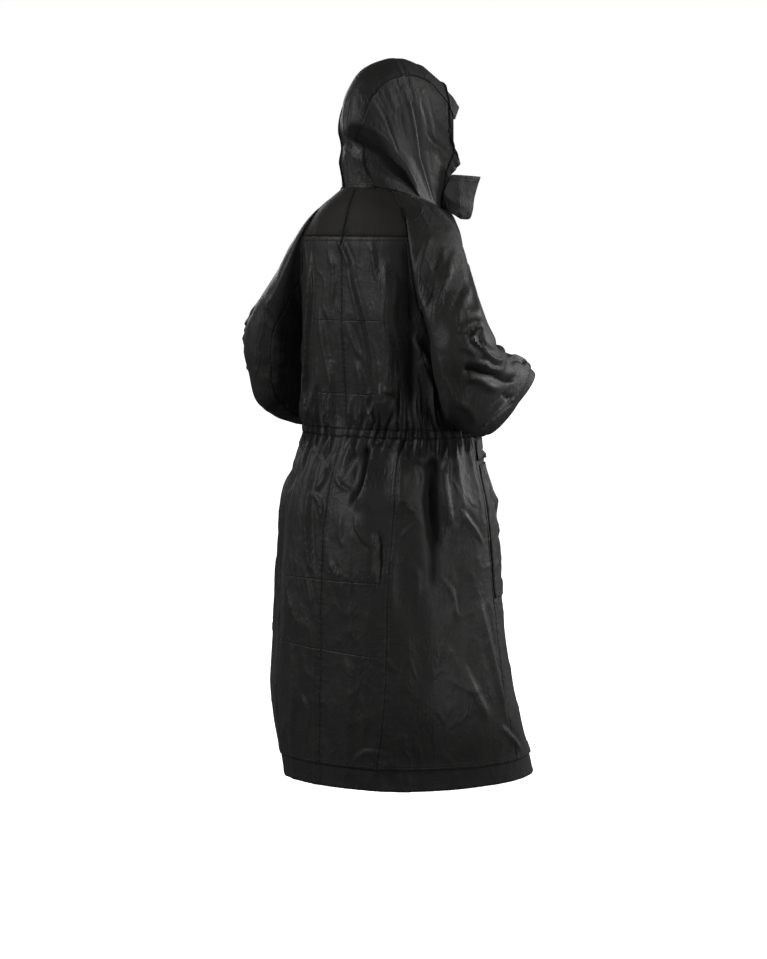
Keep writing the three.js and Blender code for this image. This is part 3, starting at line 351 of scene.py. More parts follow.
# Creases, placed on the photograph: path in pixels, height and half width in millimetres, then what
# differs from creaseStart: how far each end fades, how deep the trough beside it is, how wide its far side.
creaseStart = {"ends": (0.3, 0.3), "trough": 0.35, "far": 1.0}
creaseRows = {
    "body": [
        ([(338, 238), (344, 252), (350, 268), (353, 282)], 4.5, 8, {"ends": (0.1, 0.5)}),
        ([(345, 262), (353, 290), (361, 322), (367, 355), (373, 392)], 4.5, 8, {"ends": (0.2, 0.2)}),
        ([(383, 258), (389, 290), (387, 318), (391, 350), (392, 380), (387, 402),
          (384, 424)], 13.5, 10, {"far": 2.6, "ends": (0.25, 0.08), "trough": 0.15}),
        ([(371, 240), (374, 262), (380, 285)], 3.5, 7, {"ends": (0.2, 0.4)}),
        ([(309, 245), (310, 290), (308, 340), (306, 385), (309, 420)], 8.0, 8, {"ends": (0.15, 0.1)}),
        ([(330, 248), (333, 280), (330, 310)], 3.0, 9),
        ([(318, 300), (322, 340), (330, 375), (337, 402)], 4.0, 9),
        ([(347, 318), (352, 338), (362, 360)], 3.5, 7),
        ([(356, 360), (363, 385), (366, 410)], 4.0, 8),
        ([(402, 225), (408, 265), (410, 320), (408, 370),
          (408, 430)], -6.5, 24, {"ends": (0.3, 0.15), "trough": 0.0}),
        ([(412, 330), (424, 365), (432, 400), (436, 428)], 6.0, 10),
        ([(316, 380), (314, 400), (318, 425)], 4.0, 6),
        ([(328, 385), (331, 405), (328, 428)], 4.0, 6),
        ([(352, 392), (350, 410), (353, 430)], 4.5, 6),
        ([(371, 385), (368, 405), (372, 428)], 4.5, 6),
        ([(355, 514), (360, 500), (367, 482), (372, 460),
          (374, 442)], 10.0, 9, {"far": 2.9, "ends": (0.3, 0.1), "trough": 0.9}),
        ([(404, 436), (403, 480), (398, 520)], 9.0, 25, {"ends": (0.25, 0.35), "trough": 0.0}),
        ([(372, 549), (364, 539), (357, 526), (356, 512)], 4.0, 5, {"trough": 0.5}),
        ([(354, 445), (355, 470), (350, 500)], -7.0, 12, {"trough": 0.0}),
        ([(374, 530), (376, 556), (375, 597)], 4.5, 5, {"trough": 0.9}),
        ([(441, 455), (430, 478), (431, 505), (434, 530), (444, 545)], -11.0, 18, {"trough": -0.2}),
        ([(395, 522), (400, 505), (412, 498)], 2.0, 4),
        ([(400, 540), (408, 530), (420, 522)], 2.0, 4),
        ([(329, 560), (336, 575), (340, 600)], 3.0, 6),
        ([(345, 575), (352, 585), (350, 605)], 3.0, 5),
        ([(410, 560), (418, 580), (416, 610)], 2.5, 7),
        ([(440, 575), (452, 596), (458, 625)], 3.0, 7),
        ([(360, 690), (366, 720), (362, 750)], 2.5, 8),
        ([(300, 690), (307, 716), (304, 750)], 2.5, 8),
        ([(313, 442), (306, 460), (300, 478)], 5.0, 8),
        ([(324, 448), (315, 470), (309, 495), (307, 530), (309, 560),
          (313, 585)], 6.5, 9, {"ends": (0.1, 0.4)}),
        ([(332, 450), (325, 475), (312, 494)], 4.5, 7),
        ([(311, 490), (321, 508), (321, 530)], 3.5, 6),
        ([(336, 468), (339, 482), (352, 493)], 3.5, 6),
        ([(343, 505), (341, 530), (345, 550)], 3.0, 8),
        ([(290, 460), (283, 500), (279, 560), (278, 620)], 6.0, 12, {"ends": (0.2, 0.4)}),
        ([(302, 560), (309, 590), (316, 625)], 3.0, 7),
        ([(447, 458), (443, 480), (447, 505), (455, 535)], 7.0, 11, {"ends": (0.15, 0.4)}),
        ([(432, 470), (431, 510), (434, 560), (432, 605)], -6.0, 13, {"trough": 0.0}),
        ([(458, 508), (473, 528), (484, 548)], 4.0, 7),
        ([(416, 462), (424, 480), (421, 500)], 4.0, 8),
        ([(405, 500), (414, 512), (424, 505)], 2.4, 4),
        ([(386, 657), (394, 668), (400, 672)], 1.8, 4),
        ([(460, 655), (474, 690), (492, 725)], 4.5, 12),
        ([(350, 765), (370, 752), (395, 757)], 1.6, 5),
        ([(499, 725), (512, 738), (522, 752)], 4.0, 8),
        ([(480, 600), (488, 640), (500, 690), (510, 730)], 6.0, 12, {"ends": (0.2, 0.3)}),
        ([(345, 655), (352, 690), (349, 740)], 3.0, 12),
        ([(291, 640), (294, 690), (292, 740)], 4.0, 12),
        ([(396, 545), (392, 590), (395, 640)], 4.5, 14),
        ([(405, 600), (409, 650), (404, 700)], 3.5, 16),
        ([(447, 550), (452, 590), (447, 640)], 3.5, 14),
    ],
    "right": [
        ([(432, 232), (426, 250), (421, 275), (420, 295)], 6.0, 9, {"ends": (0.2, 0.4)}),
        ([(458, 249), (448, 272), (437, 306), (432, 330)], 5.5, 9),
        ([(441, 251), (433, 280), (427, 306)], -4.0, 8, {"trough": 0.0}),
        ([(471, 280), (461, 306), (458, 330)], 4.5, 8),
        ([(437, 367), (447, 388), (445, 409)], 4.0, 7),
        ([(425, 340), (431, 365), (437, 395)], 3.5, 7),
        ([(447, 248), (444, 275)], 4.0, 9),
        ([(470, 262), (474, 290), (478, 318)], 4.0, 10),
        ([(456, 333), (465, 330), (476, 324)], 5.0, 6, {"trough": 0.6}),
        ([(458, 330), (470, 325), (484, 322)], 4.0, 6),
        ([(484, 329), (476, 331), (474, 340), (480, 348),
          (493, 355)], 6.5, 5, {"ends": (0.15, 0.2), "trough": 0.3}),
        ([(485, 334), (481, 340), (487, 347), (496, 352)], -5.5, 5, {"trough": 0.0}),
        ([(478, 352), (490, 357), (505, 358)], 6.0, 7, {"trough": 0.5}),
        ([(461, 367), (478, 372), (497, 375), (518, 377)], -12.0, 6, {"ends": (0.12, 0.1), "trough": 0.0}),
        ([(463, 376), (482, 382), (505, 386)], 6.0, 9, {"trough": 0.0}),
        ([(466, 360), (485, 364), (503, 368)], 6.0, 7, {"trough": 0.0}),
        ([(508, 360), (515, 357), (524, 361), (525, 370)], 6.0, 5, {"trough": 0.8}),
        ([(436, 350), (444, 372), (450, 398), (449, 424)], 5.0, 8, {"ends": (0.3, 0.15)}),
        ([(455, 345), (470, 350), (482, 360)], 4.0, 8),
        ([(500, 392), (508, 398), (516, 396)], -5.0, 5, {"trough": 0.0}),
        ([(484, 426), (498, 412), (514, 398)], 6.0, 4, {"ends": (0.1, 0.1), "trough": 0.8}),
        ([(478, 418), (492, 404), (508, 391)], -2.5, 4, {"trough": 0.0}),
        ([(455, 395), (470, 410), (478, 425)], 4.0, 10),
        ([(462, 300), (468, 312), (480, 310)], 3.0, 7),
    ],
    "left": [
        ([(299, 250), (286, 280), (276, 310), (270, 345)], 5.0, 9, {"ends": (0.2, 0.3)}),
        ([(268, 290), (272, 320), (275, 350), (284, 380),
          (300, 408)], 6.0, 9, {"ends": (0.2, 0.2), "trough": 0.0}),
        ([(255, 350), (266, 370), (281, 388)], 5.5, 7, {"trough": 0.7}),
        ([(264, 405), (280, 407), (300, 410)], 5.0, 5, {"trough": 0.7}),
        ([(272, 355), (284, 385), (300, 410)], 4.0, 8),
        ([(290, 330), (283, 360), (290, 395)], -5.0, 9, {"trough": 0.0}),
    ],
    "hood": [
        ([(403, 62), (410.5, 96), (416, 120), (419.5, 145), (420.5, 162),
          (424, 182)], 4.0, 4.5, {"ends": (0.08, 0.08), "trough": 0.8, "far": 1.4}),
        ([(374, 87), (384, 110), (391, 133), (398, 155)], 3.6, 4, {"ends": (0.2, 0.15), "trough": 0.4}),
        ([(428, 188), (423, 183), (414, 175), (405, 164), (396, 153), (388, 141),
          (377, 130), (367, 122), (358, 120)], 3.5, 6, {"far": 3.0, "ends": (0.08, 0.3), "trough": 0.0}),
        ([(342, 131), (350, 133), (358, 135), (370, 141), (382, 151), (392, 163),
          (403, 175), (413, 185), (425, 195)], -22.0, 8, {"far": 3.2, "ends": (0.3, 0.06), "trough": 0.0}),
        ([(350, 130), (352, 138), (361, 152), (352, 168), (349, 182)], 4.0, 6, {"trough": 0.4}),
        ([(341, 139), (350, 146), (360, 152)], 4.0, 5),
        ([(372, 160), (371, 170), (372, 182)], 3.0, 4),
        ([(428, 84), (436, 105), (443, 130)], 3.0, 6),
        ([(420, 95), (427, 120), (431, 146)], 2.6, 7),
        ([(425, 128), (434, 140), (444, 150)], 2.6, 4),
        ([(420, 156), (430, 159), (440, 163)], -8.0, 4, {"trough": -0.5, "ends": (0.3, 0.1)}),
        ([(428, 172), (436, 170), (443, 169)], -6.0, 4, {"trough": -0.5, "ends": (0.3, 0.1)}),
        ([(386, 70), (378, 80), (370, 100)], 3.0, 5),
        ([(352, 96), (347, 118), (350, 138)], 4.0, 7),
        ([(351, 150), (358, 156), (351, 174)], 5.0, 6),
        ([(395, 75), (399, 100), (403, 128), (410, 150)], 2.8, 7),
        ([(425, 90), (433, 115), (436, 145)], 3.0, 8),
        ([(375, 160), (373, 172), (374, 182)], 2.5, 5),
    ],
}
# For each form, how much higher its creases stand than drawn, and the decimals kept of a place.
drawnValues = {
    "body": {"higher": 1.25, "decimals": 1}, "right": {"higher": 1.3, "decimals": 1},
    "left": {"higher": 1.3, "decimals": 1}, "hood": {"higher": 1.1, "decimals": 2},
}
pickValues = {"near": 2.0, "slack": 1.0, "depth": 25.0}   # pixels, pixels, and millimetres behind the front


def photographed(points):
    # Pixels across and down, and the distance, of points in millimetres.
    pitch, turn = math.radians(cameraValues["pitch"]), math.radians(cameraValues["azimuth"])
    level = math.sqrt(0.5) * math.cos(pitch)
    ahead = np.array([level, -level, -math.sin(pitch)])
    right = np.array([math.cos(turn), math.sin(turn), 0.0])
    offset = points.reshape(-1, 3) - 1000 * np.array(cameraPlace)
    depth = offset @ ahead
    scale = cameraValues["focalPixels"] / depth
    across = cameraValues["axisPixel"] + scale * (offset @ right)
    return across, cameraValues["imageHeight"] / 2 - scale * (offset @ np.cross(right, ahead)), depth


def formPlaces(name):
    # A fine grid on one form, as its two coordinates and its points.
    if name == "body":
        first, second = np.meshgrid(np.arange(-180, 180, 0.5), np.arange(-3, -1314, -3.0))
        return first, second, bodyForm(first, second)
    if name == "hood":
        first, second = np.meshgrid(np.linspace(0, 13, 200), np.linspace(0, 18, 361), indexing="ij")
        return first, second, hoodColumn(lambda angle: bodyForm(angle, neckLevel), first, second)
    rings, columns = np.linspace(0, 11, 260), np.linspace(0, 24, 289)[:-1]
    grid, _ = sleeveForm(bodyForm, rings, columns)
    first, second = np.meshgrid(rings, columns, indexing="ij")
    return first, second * 15, grid * np.array([-1 if name == "right" else 1, 1, 1])


def placedCreases(name):
    # A body path becomes (angle, z), a sleeve path (ring, turn) and a hood path (arch, column).
    first, second, points = formPlaces(name)
    first, second = first.ravel(), second.ravel()
    across, down, depth = photographed(points)
    drawn, creases = drawnValues[name], []
    for pixels, height, width, *more in creaseRows[name]:
        path = []
        for pixelX, pixelY in pixels:
            gap = np.hypot(across - pixelX, down - pixelY)
            near = np.flatnonzero(gap < max(pickValues["near"], gap.min() + pickValues["slack"]))
            near = near[depth[near] < depth[near].min() + pickValues["depth"]]
            best = near[np.argmin(gap[near])]
            place, turn = float(first[best]), float(second[best])
            if name in ("left", "right") and path:
                turn += 360 * round((path[-1][1] - turn) / 360)
            path.append((round(place, drawn["decimals"]), round(turn, 1)))
        values = {**creaseStart, **(more[0] if more else {})}
        creases.append({"path": path, "height": round(height * drawn["higher"], 1), "width": width, **values})
    return creases


bodyCreases, hoodCreases = placedCreases("body"), placedCreases("hood")
leftCreases, rightCreases = placedCreases("left"), placedCreases("right")
print("creases placed")


hiddenValues = {
    "sideFrom": -48, "turn": 3, "lower": 14, "backAngles": (-52, 45), "frontFrom": 118, "frontShare": 0.85,
    "middle": 4, "frontLower": 20, "frontHeight": 0.8,
}


def hiddenBody(creases):
    # The same kinds of crease on the wearer's left side and on the fronts, a little shifted.
    more, values = [], hiddenValues
    low, high = values["backAngles"]
    for crease in creases:
        path = crease["path"]
        angles = [angle for angle, _ in path]
        if max(angles) < values["sideFrom"]:
            left = [(values["turn"] - angle, z - values["lower"]) for angle, z in path]
            more.append({**crease, "path": left})
        if low < min(angles) and max(angles) < high:
            share, start = values["frontShare"], values["frontFrom"]
            away = [start + abs(angle + values["middle"]) * share for angle in angles]
            for side in (1, -1):
                front = [(side * angle, z - values["frontLower"]) for angle, (_, z) in zip(away, path)]
                more.append({**crease, "path": front, "height": crease["height"] * values["frontHeight"]})
    return more


def otherSleeve(creases, low, high):
    # Creases between two turns, measured from the outer side over the back.
    return [
        crease for crease in creases
        if all(low <= (turn - low) % 360 + low <= high for _, turn in crease["path"])
    ]


# Gathers at the waist, each of its own place, height and length.
random = np.random.default_rng(11)
gatherValues = {
    "count": 56, "depth": 12.0, "rise": 66.0, "fall": 84.0, "width": 1.45, "endAngle": 160.0, "endWidth": 10,
    "above": 150, "below": 220, "widenUp": 0.005, "widenDown": 0.011, "leanReach": 60,
    "crest": 0.3, "crestRise": 12, "sink": 0.42, "plain": (-52, -24), "plainShare": 0.3,
    "pocket": (100, 106), "pocketShare": 0.7, "pocketRise": 8,
}
gathers = [
    {
        "angle": (i - gatherValues["count"] / 2) * 360 / gatherValues["count"] + random.uniform(-1.6, 1.6),
        "depth": gatherValues["depth"] * random.uniform(0.4, 1.3),
        "rise": gatherValues["rise"] * random.uniform(0.3, 1.8),
        "fall": gatherValues["fall"] * random.uniform(0.35, 1.8),
        "lean": random.uniform(-1.2, 1.2),
        "width": gatherValues["width"] * random.uniform(0.8, 1.2),
    }
    for i in range(gatherValues["count"])
]
for gather in gathers:
    if gatherValues["plain"][0] < gather["angle"] < gatherValues["plain"][1]:
        gather["fall"] *= gatherValues["plainShare"]   # here the gathers hardly reach the skirt


def gatherHeight(angle, z):
    values = gatherValues
    height = np.zeros(np.broadcast(angle, z).shape)
    angle, z = np.broadcast_arrays(angle, z)
    above = np.clip(z - casingTop, 0, None)
    below = np.clip(casingBottom - z, 0, None)
    near = (above < values["above"]) & (below < values["below"])
    if not near.any():
        return height
    a, up, down = angle[near], above[near], below[near]
    total = np.zeros(a.shape)
    for gather in gathers:
        lean = gather["angle"] + gather["lean"] * (up - down) / values["leanReach"]
        gap = (a - lean + 180) % 360 - 180
        spread = gather["width"] * (1 + values["widenUp"] * up + values["widenDown"] * down)
        reach = bell(up / gather["rise"]) * bell(down / gather["fall"])
        reach = reach * (1 + values["crest"] * smooth(0, values["crestRise"], up))
        total += gather["depth"] * reach * foldSection(gap, spread, 0.5)
    total -= values["sink"] * values["depth"] * bell(up / values["rise"]) * bell(down / values["fall"])
    end = 1 - smooth(values["endAngle"], values["endAngle"] + values["endWidth"], np.abs(a))
    pocket = smooth(*values["pocket"], np.abs(a)) * smooth(0, values["pocketRise"], down)
    height[near] = total * end * (1 - values["pocketShare"] * pocket)
    return height


def creaseLine(surface, path, count=60):
    path = np.array(path, dtype=float)
    steps = np.linalg.norm(np.diff(path, axis=0) / path.std(axis=0).clip(1e-3), axis=1)
    reach = np.concatenate([[0], np.cumsum(steps)])
    at = np.linspace(0, reach[-1], count)
    if len(path) > 2:
        places = hermite(reach, path, at)
    else:
        places = path[0] + (path[1] - path[0]) * (at / reach[-1])[:, None]
    return surface(places[:, 0], places[:, 1])


def creaseRelief(points, normals, creases, lines):
    flat, out = points.reshape(-1, 3), normals.reshape(-1, 3)
    height = np.zeros(len(flat))
    for crease, line in zip(creases, lines):
        reach = 2.6 * crease["width"] * max(1.0, crease["far"])
        low, high = line.min(axis=0) - reach, line.max(axis=0) + reach
        near = np.flatnonzero(((flat > low) & (flat < high)).all(axis=1))
        if not len(near):
            continue
        p, n = flat[near], out[near]
        index = np.linalg.norm(p[:, None] - line[None], axis=2).argmin(axis=1)
        tangent = np.gradient(line, axis=0)[index]
        space = np.linalg.norm(tangent, axis=1)
        offset = p - line[index]
        along = np.clip(np.einsum("ij,ij->i", offset, tangent) / space ** 2, -0.6, 0.6)
        offset = offset - tangent * along[:, None]
        side = np.einsum("ij,ij->i", np.cross(tangent, n), offset)
        distance = np.sign(side) * np.linalg.norm(offset, axis=1)
        width = np.where(distance > 0, crease["width"] * crease["far"], crease["width"])
        share = (index + along) / (len(line) - 1)
        start, end = crease["ends"]
        taper = smooth(0, start, share) * (1 - smooth(1 - end, 1, share))
        wave = foldSection(distance, width, 0.55)
        trough = crease["trough"] * bell((distance + 1.7 * crease["width"]) / crease["width"])
        height[near] += crease["height"] * taper * (wave - trough)
    return height.reshape(points.shape[:-1])


bodyCreases = bodyCreases + hiddenBody(bodyCreases)
bodyLines = [creaseLine(bodyForm, crease["path"]) for crease in bodyCreases]


def crumples(points, sizes, shift):
    # Rounded ridges along the middle values of a bent noise.
    sizes = np.asarray(sizes)
    bent = points + 0.25 * sizes * np.stack([cloud(points, sizes * 0.8, shift + 3 * i) for i in range(3)], -1)
    value = np.abs(cloud(bent, sizes, shift + 20))
    strength = smooth(-0.35, 0.45, cloud(points, sizes * 1.8, shift + 40))
    return (np.exp(-value / 0.16) - 0.3) * strength


def softness(points, rows, parts=None):
    # Adds up rows of height, kind of noise, its sizes, its shift and the part of the piece that has it.
    total = 0.0
    for rise, kind, sizes, shift, *part in rows:
        share = parts[part[0]] if part else 1.0
        total = total + share * rise * kind(points, sizes, shift)
    return total


bodySoftness = [
    (2.6, cloud, (70, 70, 420), 0.0, "skirt"), (1.1, cloud, (34, 34, 150), 9.0, "skirt"),
    (1.7, cloud, (80, 80, 130), 4.0, "upper"), (0.8, cloud, (30, 30, 60), 2.0, "upper"),
    (4.6, crumples, (80, 80, 250), 1.0, "skirt"), (2.2, crumples, (40, 40, 84), 2.0, "skirt"),
    (4.6, crumples, (58, 58, 180), 3.0, "upper"), (2.1, crumples, (32, 32, 80), 4.0, "upper"),
    (3.6, cloud, (11, 11, 30), 5.0, "casing"), (0.3, cloud, (14, 14, 22), 6.0),
    (0.8, crumples, (19, 19, 40), 15.0, "both"),
]


# Levels between which the softness of the skirt and below the neck begins, and ends above the waist.
partLevels = {"skirt": (-560, -700), "neck": (-20, -120), "waist": (-470, -520), "casingReach": 15}


def bodyRelief(angle, z, points, normals):
    height = gatherHeight(angle, z) + creaseRelief(points, normals, bodyCreases, bodyLines)
    skirt, below, waist = (smooth(*partLevels[part], points[..., 2]) for part in ("skirt", "neck", "waist"))
    upper = (1 - waist) * below
    casing = bell((z - 0.5 * (casingTop + casingBottom)) / partLevels["casingReach"])
    parts = {"skirt": skirt, "upper": upper, "casing": casing, "both": skirt + upper}
    return height + softness(points, bodySoftness, parts)


def bodyGrid(angle, z, lift=0.0):
    # Points of the body's cloth, lifted by lift, and its relief.
    angle, z = np.broadcast_arrays(np.asarray(angle, float), np.asarray(z, float))
    points, normals = bodyForm(angle, z), bodyNormal(angle, z)
    relief = bodyRelief(angle, z, points, normals)
    return points + normals * (relief + lift)[..., None], relief


def bodySurface(angle, z):
    return bodyGrid(angle, z)[0]


def neck(angle):
    return bodySurface(angle, neckLevel)


class Socket:
    # Wraps a node's output, so that shader maths is written as expressions.
    def __init__(self, tree, socket=None):
        self.tree, self.socket = tree, socket

    def feed(self, node, sockets):
        for name, value in sockets.items():
            if isinstance(value, Socket):
                self.tree.links.new(value.socket, node.inputs[name])
            else:
                node.inputs[name].default_value = value

    def node(self, kind, settings, sockets, output=0):
        # Any node: its settings come first, then the values or links of its sockets.
        node = self.tree.nodes.new(kind)
        for name, value in settings.items():
            setattr(node, name, value)
        self.feed(node, sockets)
        return Socket(self.tree, node.outputs[output])

    def math(self, operation, *values):
        return self.node("ShaderNodeMath", {"operation": operation}, dict(enumerate(values)))

    def __add__(self, other):
        return self.math("ADD", self, other)

    def __sub__(self, other):
        return self.math("SUBTRACT", self, other)

    def __rsub__(self, other):
        return self.math("SUBTRACT", other, self)

    def __mul__(self, other):
        return self.math("MULTIPLY", self, other)

    __radd__, __rmul__ = __add__, __mul__

    def distance(self, other):
        return self.math("ABSOLUTE", self - other)

    def larger(self, other):
        return self.math("MAXIMUM", self, other)

    def between(self, low, high):
        ends = {"Value": self, "From Min": low, "From Max": high}
        return self.node("ShaderNodeMapRange", {"interpolation_type": "SMOOTHSTEP"}, ends)

    def parts(self):
        first = self.node("ShaderNodeSeparateXYZ", {}, {0: self})
        return [Socket(self.tree, output) for output in first.socket.node.outputs]

    def joined(self, *values):
        return self.node("ShaderNodeCombineXYZ", {}, dict(enumerate(values)))

    def noise(self, scale, detail=2.0, roughness=0.5):
        sockets = {"Vector": self, "Scale": scale, "Detail": detail, "Roughness": roughness}
        return self.node("ShaderNodeTexNoise", {}, sockets, "Fac")

    def blend(self, first, second):
        # Mixes two colours by this factor.
        first, second = (value if isinstance(value, Socket) else (*value, 1.0) for value in (first, second))
        return self.node("ShaderNodeMix", {"data_type": "RGBA"}, {0: self, 6: first, 7: second}, 2)


def painted(name):
    # A new material, its Principled node and the start of its other nodes.
    material = bpy.data.materials.new(name)
    material.use_nodes = True
    shader = next(node for node in material.node_tree.nodes if node.type == "BSDF_PRINCIPLED")
    return material, shader, Socket(material.node_tree)


# Noises of the cloth: scale, detail and roughness.
grains = {
    "slubs": (160.0, 2.0), "clouds": (11.0, 4.0, 0.6), "fine": (240.0, 2.0), "wear": (45.0, 3.0),
    "pucker": (95.0, 2.0), "crumple": (52.0, 3.0, 0.55), "small": (130.0, 2.0),
    "ridge": (26.0, 1.0), "ridgeShare": (8.0, 1.0), "fineRidge": (75.0, 1.0), "fineShare": (14.0, 1.0),
}
# Shares of each part in the tone (deep and groove are painted shade), and heights in millimetres for the
# bump.
toneShares = {"wear": 0.45, "speckle": 0.35, "deep": 0.9, "groove": 0.55}
bumpHeights = {
    "weave": 0.03, "slubs": 0.03, "small": 0.3, "ridge": 0.75, "fineRidge": 0.4, "stitch": 0.25,
    "groove": 0.7, "join": 1.7, "pucker": 1.8,
}
crossShare = 0.9   # strength of the stitched rows across the back


def clothMaterial(name, values):
    material, shader, start = painted(name)

    def layer(uvName):
        return start.node("ShaderNodeUVMap", {"uv_map": uvName}, {}).parts()

    place = start.node("ShaderNodeTexCoord", {}, {}, "Object")
    u, v, _ = layer("cloth")
    away, along, _ = layer("seam")
    relief, cross, _ = layer("relief")

    # Weave: warp and weft ribs that lean into a fine twill.
    wave = math.tau / values["weave"]
    weave = 0.5 * start.math("SINE", (u + v * 0.5) * wave) + 0.35 * start.math("SINE", v * wave)
    slubs = start.joined(u * 1.0, v * 6.0, 0.0).noise(*grains["slubs"])

    # Colour: cloudy dye, lighter worn ridges, and painted shade that darkens the deep hollows.
    clouds, fine = place.noise(*grains["clouds"]), place.noise(*grains["fine"])
    wear = relief.between(0.2, 3.0) * place.noise(*grains["wear"]).between(0.35, 0.75)
    speckle = (weave * 0.05 + fine * 0.35 + slubs * 0.25).between(0.0, 0.6)
    # Painted shade: where the relief sinks deepest, as in the trench under the hood's overhang, the colour is
    # darkened towards the darkest cloth colour.
    deep = relief.between(-3.5, -10.0)
    tone = clouds.between(0.25, 0.75).blend(values["dark"], values["light"])
    tone = (wear * toneShares["wear"]).blend(tone, values["worn"])
    tone = (speckle * toneShares["speckle"]).blend(tone, values["thread"])
    tone = (deep * toneShares["deep"]).blend(tone, values["hollow"])

    # Stitches: dashes in rows beside the seams, each in its small groove, which is darkened as painted shade.
    stitches, grooves = None, None
    rows = [(away.distance(row), along, share) for row, share in values["rows"]]
    for gap, run, share in rows + [(start.math("ABSOLUTE", cross), u, crossShare)]:
        groove = gap.between(0.0024, 0.0004) * share
        line = gap.between(0.0007, 0.0003) * share
        beat = start.math("FRACT", run * (1 / values["stitch"])).distance(0.5)
        dash = line * beat.between(0.42, 0.34)
        stitches = stitches.larger(dash) if stitches else dash
        grooves = grooves.larger(groove) if grooves else groove
    pucker = start.joined(along * 1.0, away * 0.25, 0.0).noise(*grains["pucker"]) - 0.5
    near = away.between(0.022, 0.001)
    join = away.between(0.0019, 0.0004) * values["join"]
    # Painted shade in the stitch grooves, then a dark line on each seam.
    tone = (grooves * toneShares["groove"]).blend(tone, values["hollow"])
    tone = stitches.blend(join.blend(tone, values["hollow"]), values["stitchColour"])

    # Height for the bump: crumples and thin ridges that run down the cloth, then the sewing.
    x, y, z = place.parts()
    stretched = start.joined(x, y, z * 0.35)
    crumple, small = (place.noise(*grains[grain]) - 0.5 for grain in ("crumple", "small"))
    ridge = stretched.noise(*grains["ridge"]).distance(0.5).between(0.08, 0.0)
    ridge = ridge * place.noise(*grains["ridgeShare"]).between(0.42, 0.62)
    fineRidge = stretched.noise(*grains["fineRidge"]).distance(0.5).between(0.09, 0.0)
    fineRidge = fineRidge * place.noise(*grains["fineShare"]).between(0.42, 0.65)
    raised = bumpHeights
    soft = crumple + small * raised["small"] + ridge * raised["ridge"] + fineRidge * raised["fineRidge"]
    height = (
        weave * raised["weave"] + slubs * raised["slubs"] + soft * values["crumple"]
        + stitches * raised["stitch"] - grooves * raised["groove"] - join * raised["join"]
        + pucker * near * raised["pucker"]
    )
    bump = start.node("ShaderNodeBump", {}, {"Strength": 1.0, "Distance": 0.001, "Height": height})
    start.feed(shader, {
        "Base Color": tone, "Normal": bump,
        "Roughness": clouds * 0.14 + speckle * 0.08 + values["roughness"] - wear * 0.05 + deep * 0.4,
        "Specular IOR Level": values["specular"],
    })
    return material


def linear(*values):
    return tuple((v / 255 / 12.92) if v <= 10 else ((v / 255 + 0.055) / 1.055) ** 2.4 for v in values)


# The darkest colour below is painted shade for deep folds and stitch grooves, and also the colour of the dark
# seam lines.
baseCloth = {
    "weave": 0.0016, "rows": ((0.0022, 1.0), (0.0078, 0.45)), "stitch": 0.0042, "crumple": 1.15,
    "roughness": 0.44, "specular": 0.225, "join": 0.7,
    "dark": linear(22, 22, 22), "light": linear(28, 28, 27),
    "worn": linear(38, 37, 36), "thread": linear(36, 35, 34), "hollow": linear(8, 8, 8),
    "stitchColour": linear(27, 26, 25),
}
materials = {
    "shell": clothMaterial("shellCloth", baseCloth),
    "yoke": clothMaterial("yokeCloth", {
        **baseCloth, "dark": linear(25, 23, 21), "light": linear(31, 29, 26), "worn": linear(40, 37, 34),
        "roughness": 0.54, "specular": 0.12, "crumple": 0.5}),
    "trim": clothMaterial("trimCloth", {
        **baseCloth, "dark": linear(20, 20, 20), "light": linear(26, 26, 26), "roughness": 0.48,
        "rows": ((0.0018, 0.6),), "crumple": 0.6, "join": 0.35}),
    "tape": clothMaterial("zipTape", {
        **baseCloth, "weave": 0.0012, "dark": linear(18, 18, 18), "light": linear(24, 24, 24),
        "rows": ((0.002, 1.0),), "crumple": 0.15, "roughness": 0.62}),
}
print("materials made")


def cumulative(points, axis):
    steps = np.linalg.norm(np.diff(points, axis=axis), axis=-1)
    start = np.zeros_like(np.take(steps, [0], axis=axis))
    return np.concatenate([start, np.cumsum(steps, axis=axis)], axis=axis)


def gridNormals(grid, flip, closed=False):
    if closed:
        wide = np.concatenate([grid[:, -2:-1], grid, grid[:, 1:2]], axis=1)
        across = np.gradient(wide, axis=1)[:, 1:-1]
    else:
        across = np.gradient(grid, axis=1)
    down = np.gradient(grid, axis=0)
    normals = unit(np.cross(across, down))
    return -normals if flip else normals


def edged(start, end, spacing, length, near=(1.0, 2.4, 5.0)):
    # Evenly spaced values with a few closer ones at both ends; length is the stretch in millimetres.
    count = max(2, int(round(length / spacing)))
    even = np.linspace(0, length, count + 1)
    even = even[(even > near[-1] + 1.5) & (even < length - near[-1] - 1.5)]
    values = np.concatenate([[0], near, even, length - np.array(near[::-1]), [length]])
    return start + (end - start) * values / length


# For each kind of edge: how high its turned-in rim stands, where that begins and ends to fall, and the depth
# and width of the groove at its end, in millimetres. A free edge has none.
edgeKinds = {
    "seam": (0.0, 1.0, 2.0, 0.9, 1.2), "over": (0.6, 8.5, 11.5, 1.4, 1.0), "hem": (0.5, 9.0, 13.0, 0.5, 1.0),
}


def edgeHeight(distance, kind):
    if kind not in edgeKinds:
        return 0.0 * distance
    high, near, far, deep, width = edgeKinds[kind]
    return high * (1 - smooth(near, far, distance)) - deep * bell(distance / width)


pieces = []
allowance = {"width": 3.2, "deep": 9.0, "below": 2.2}   # seam allowance in millimetres
sharpAngle = 50   # degrees


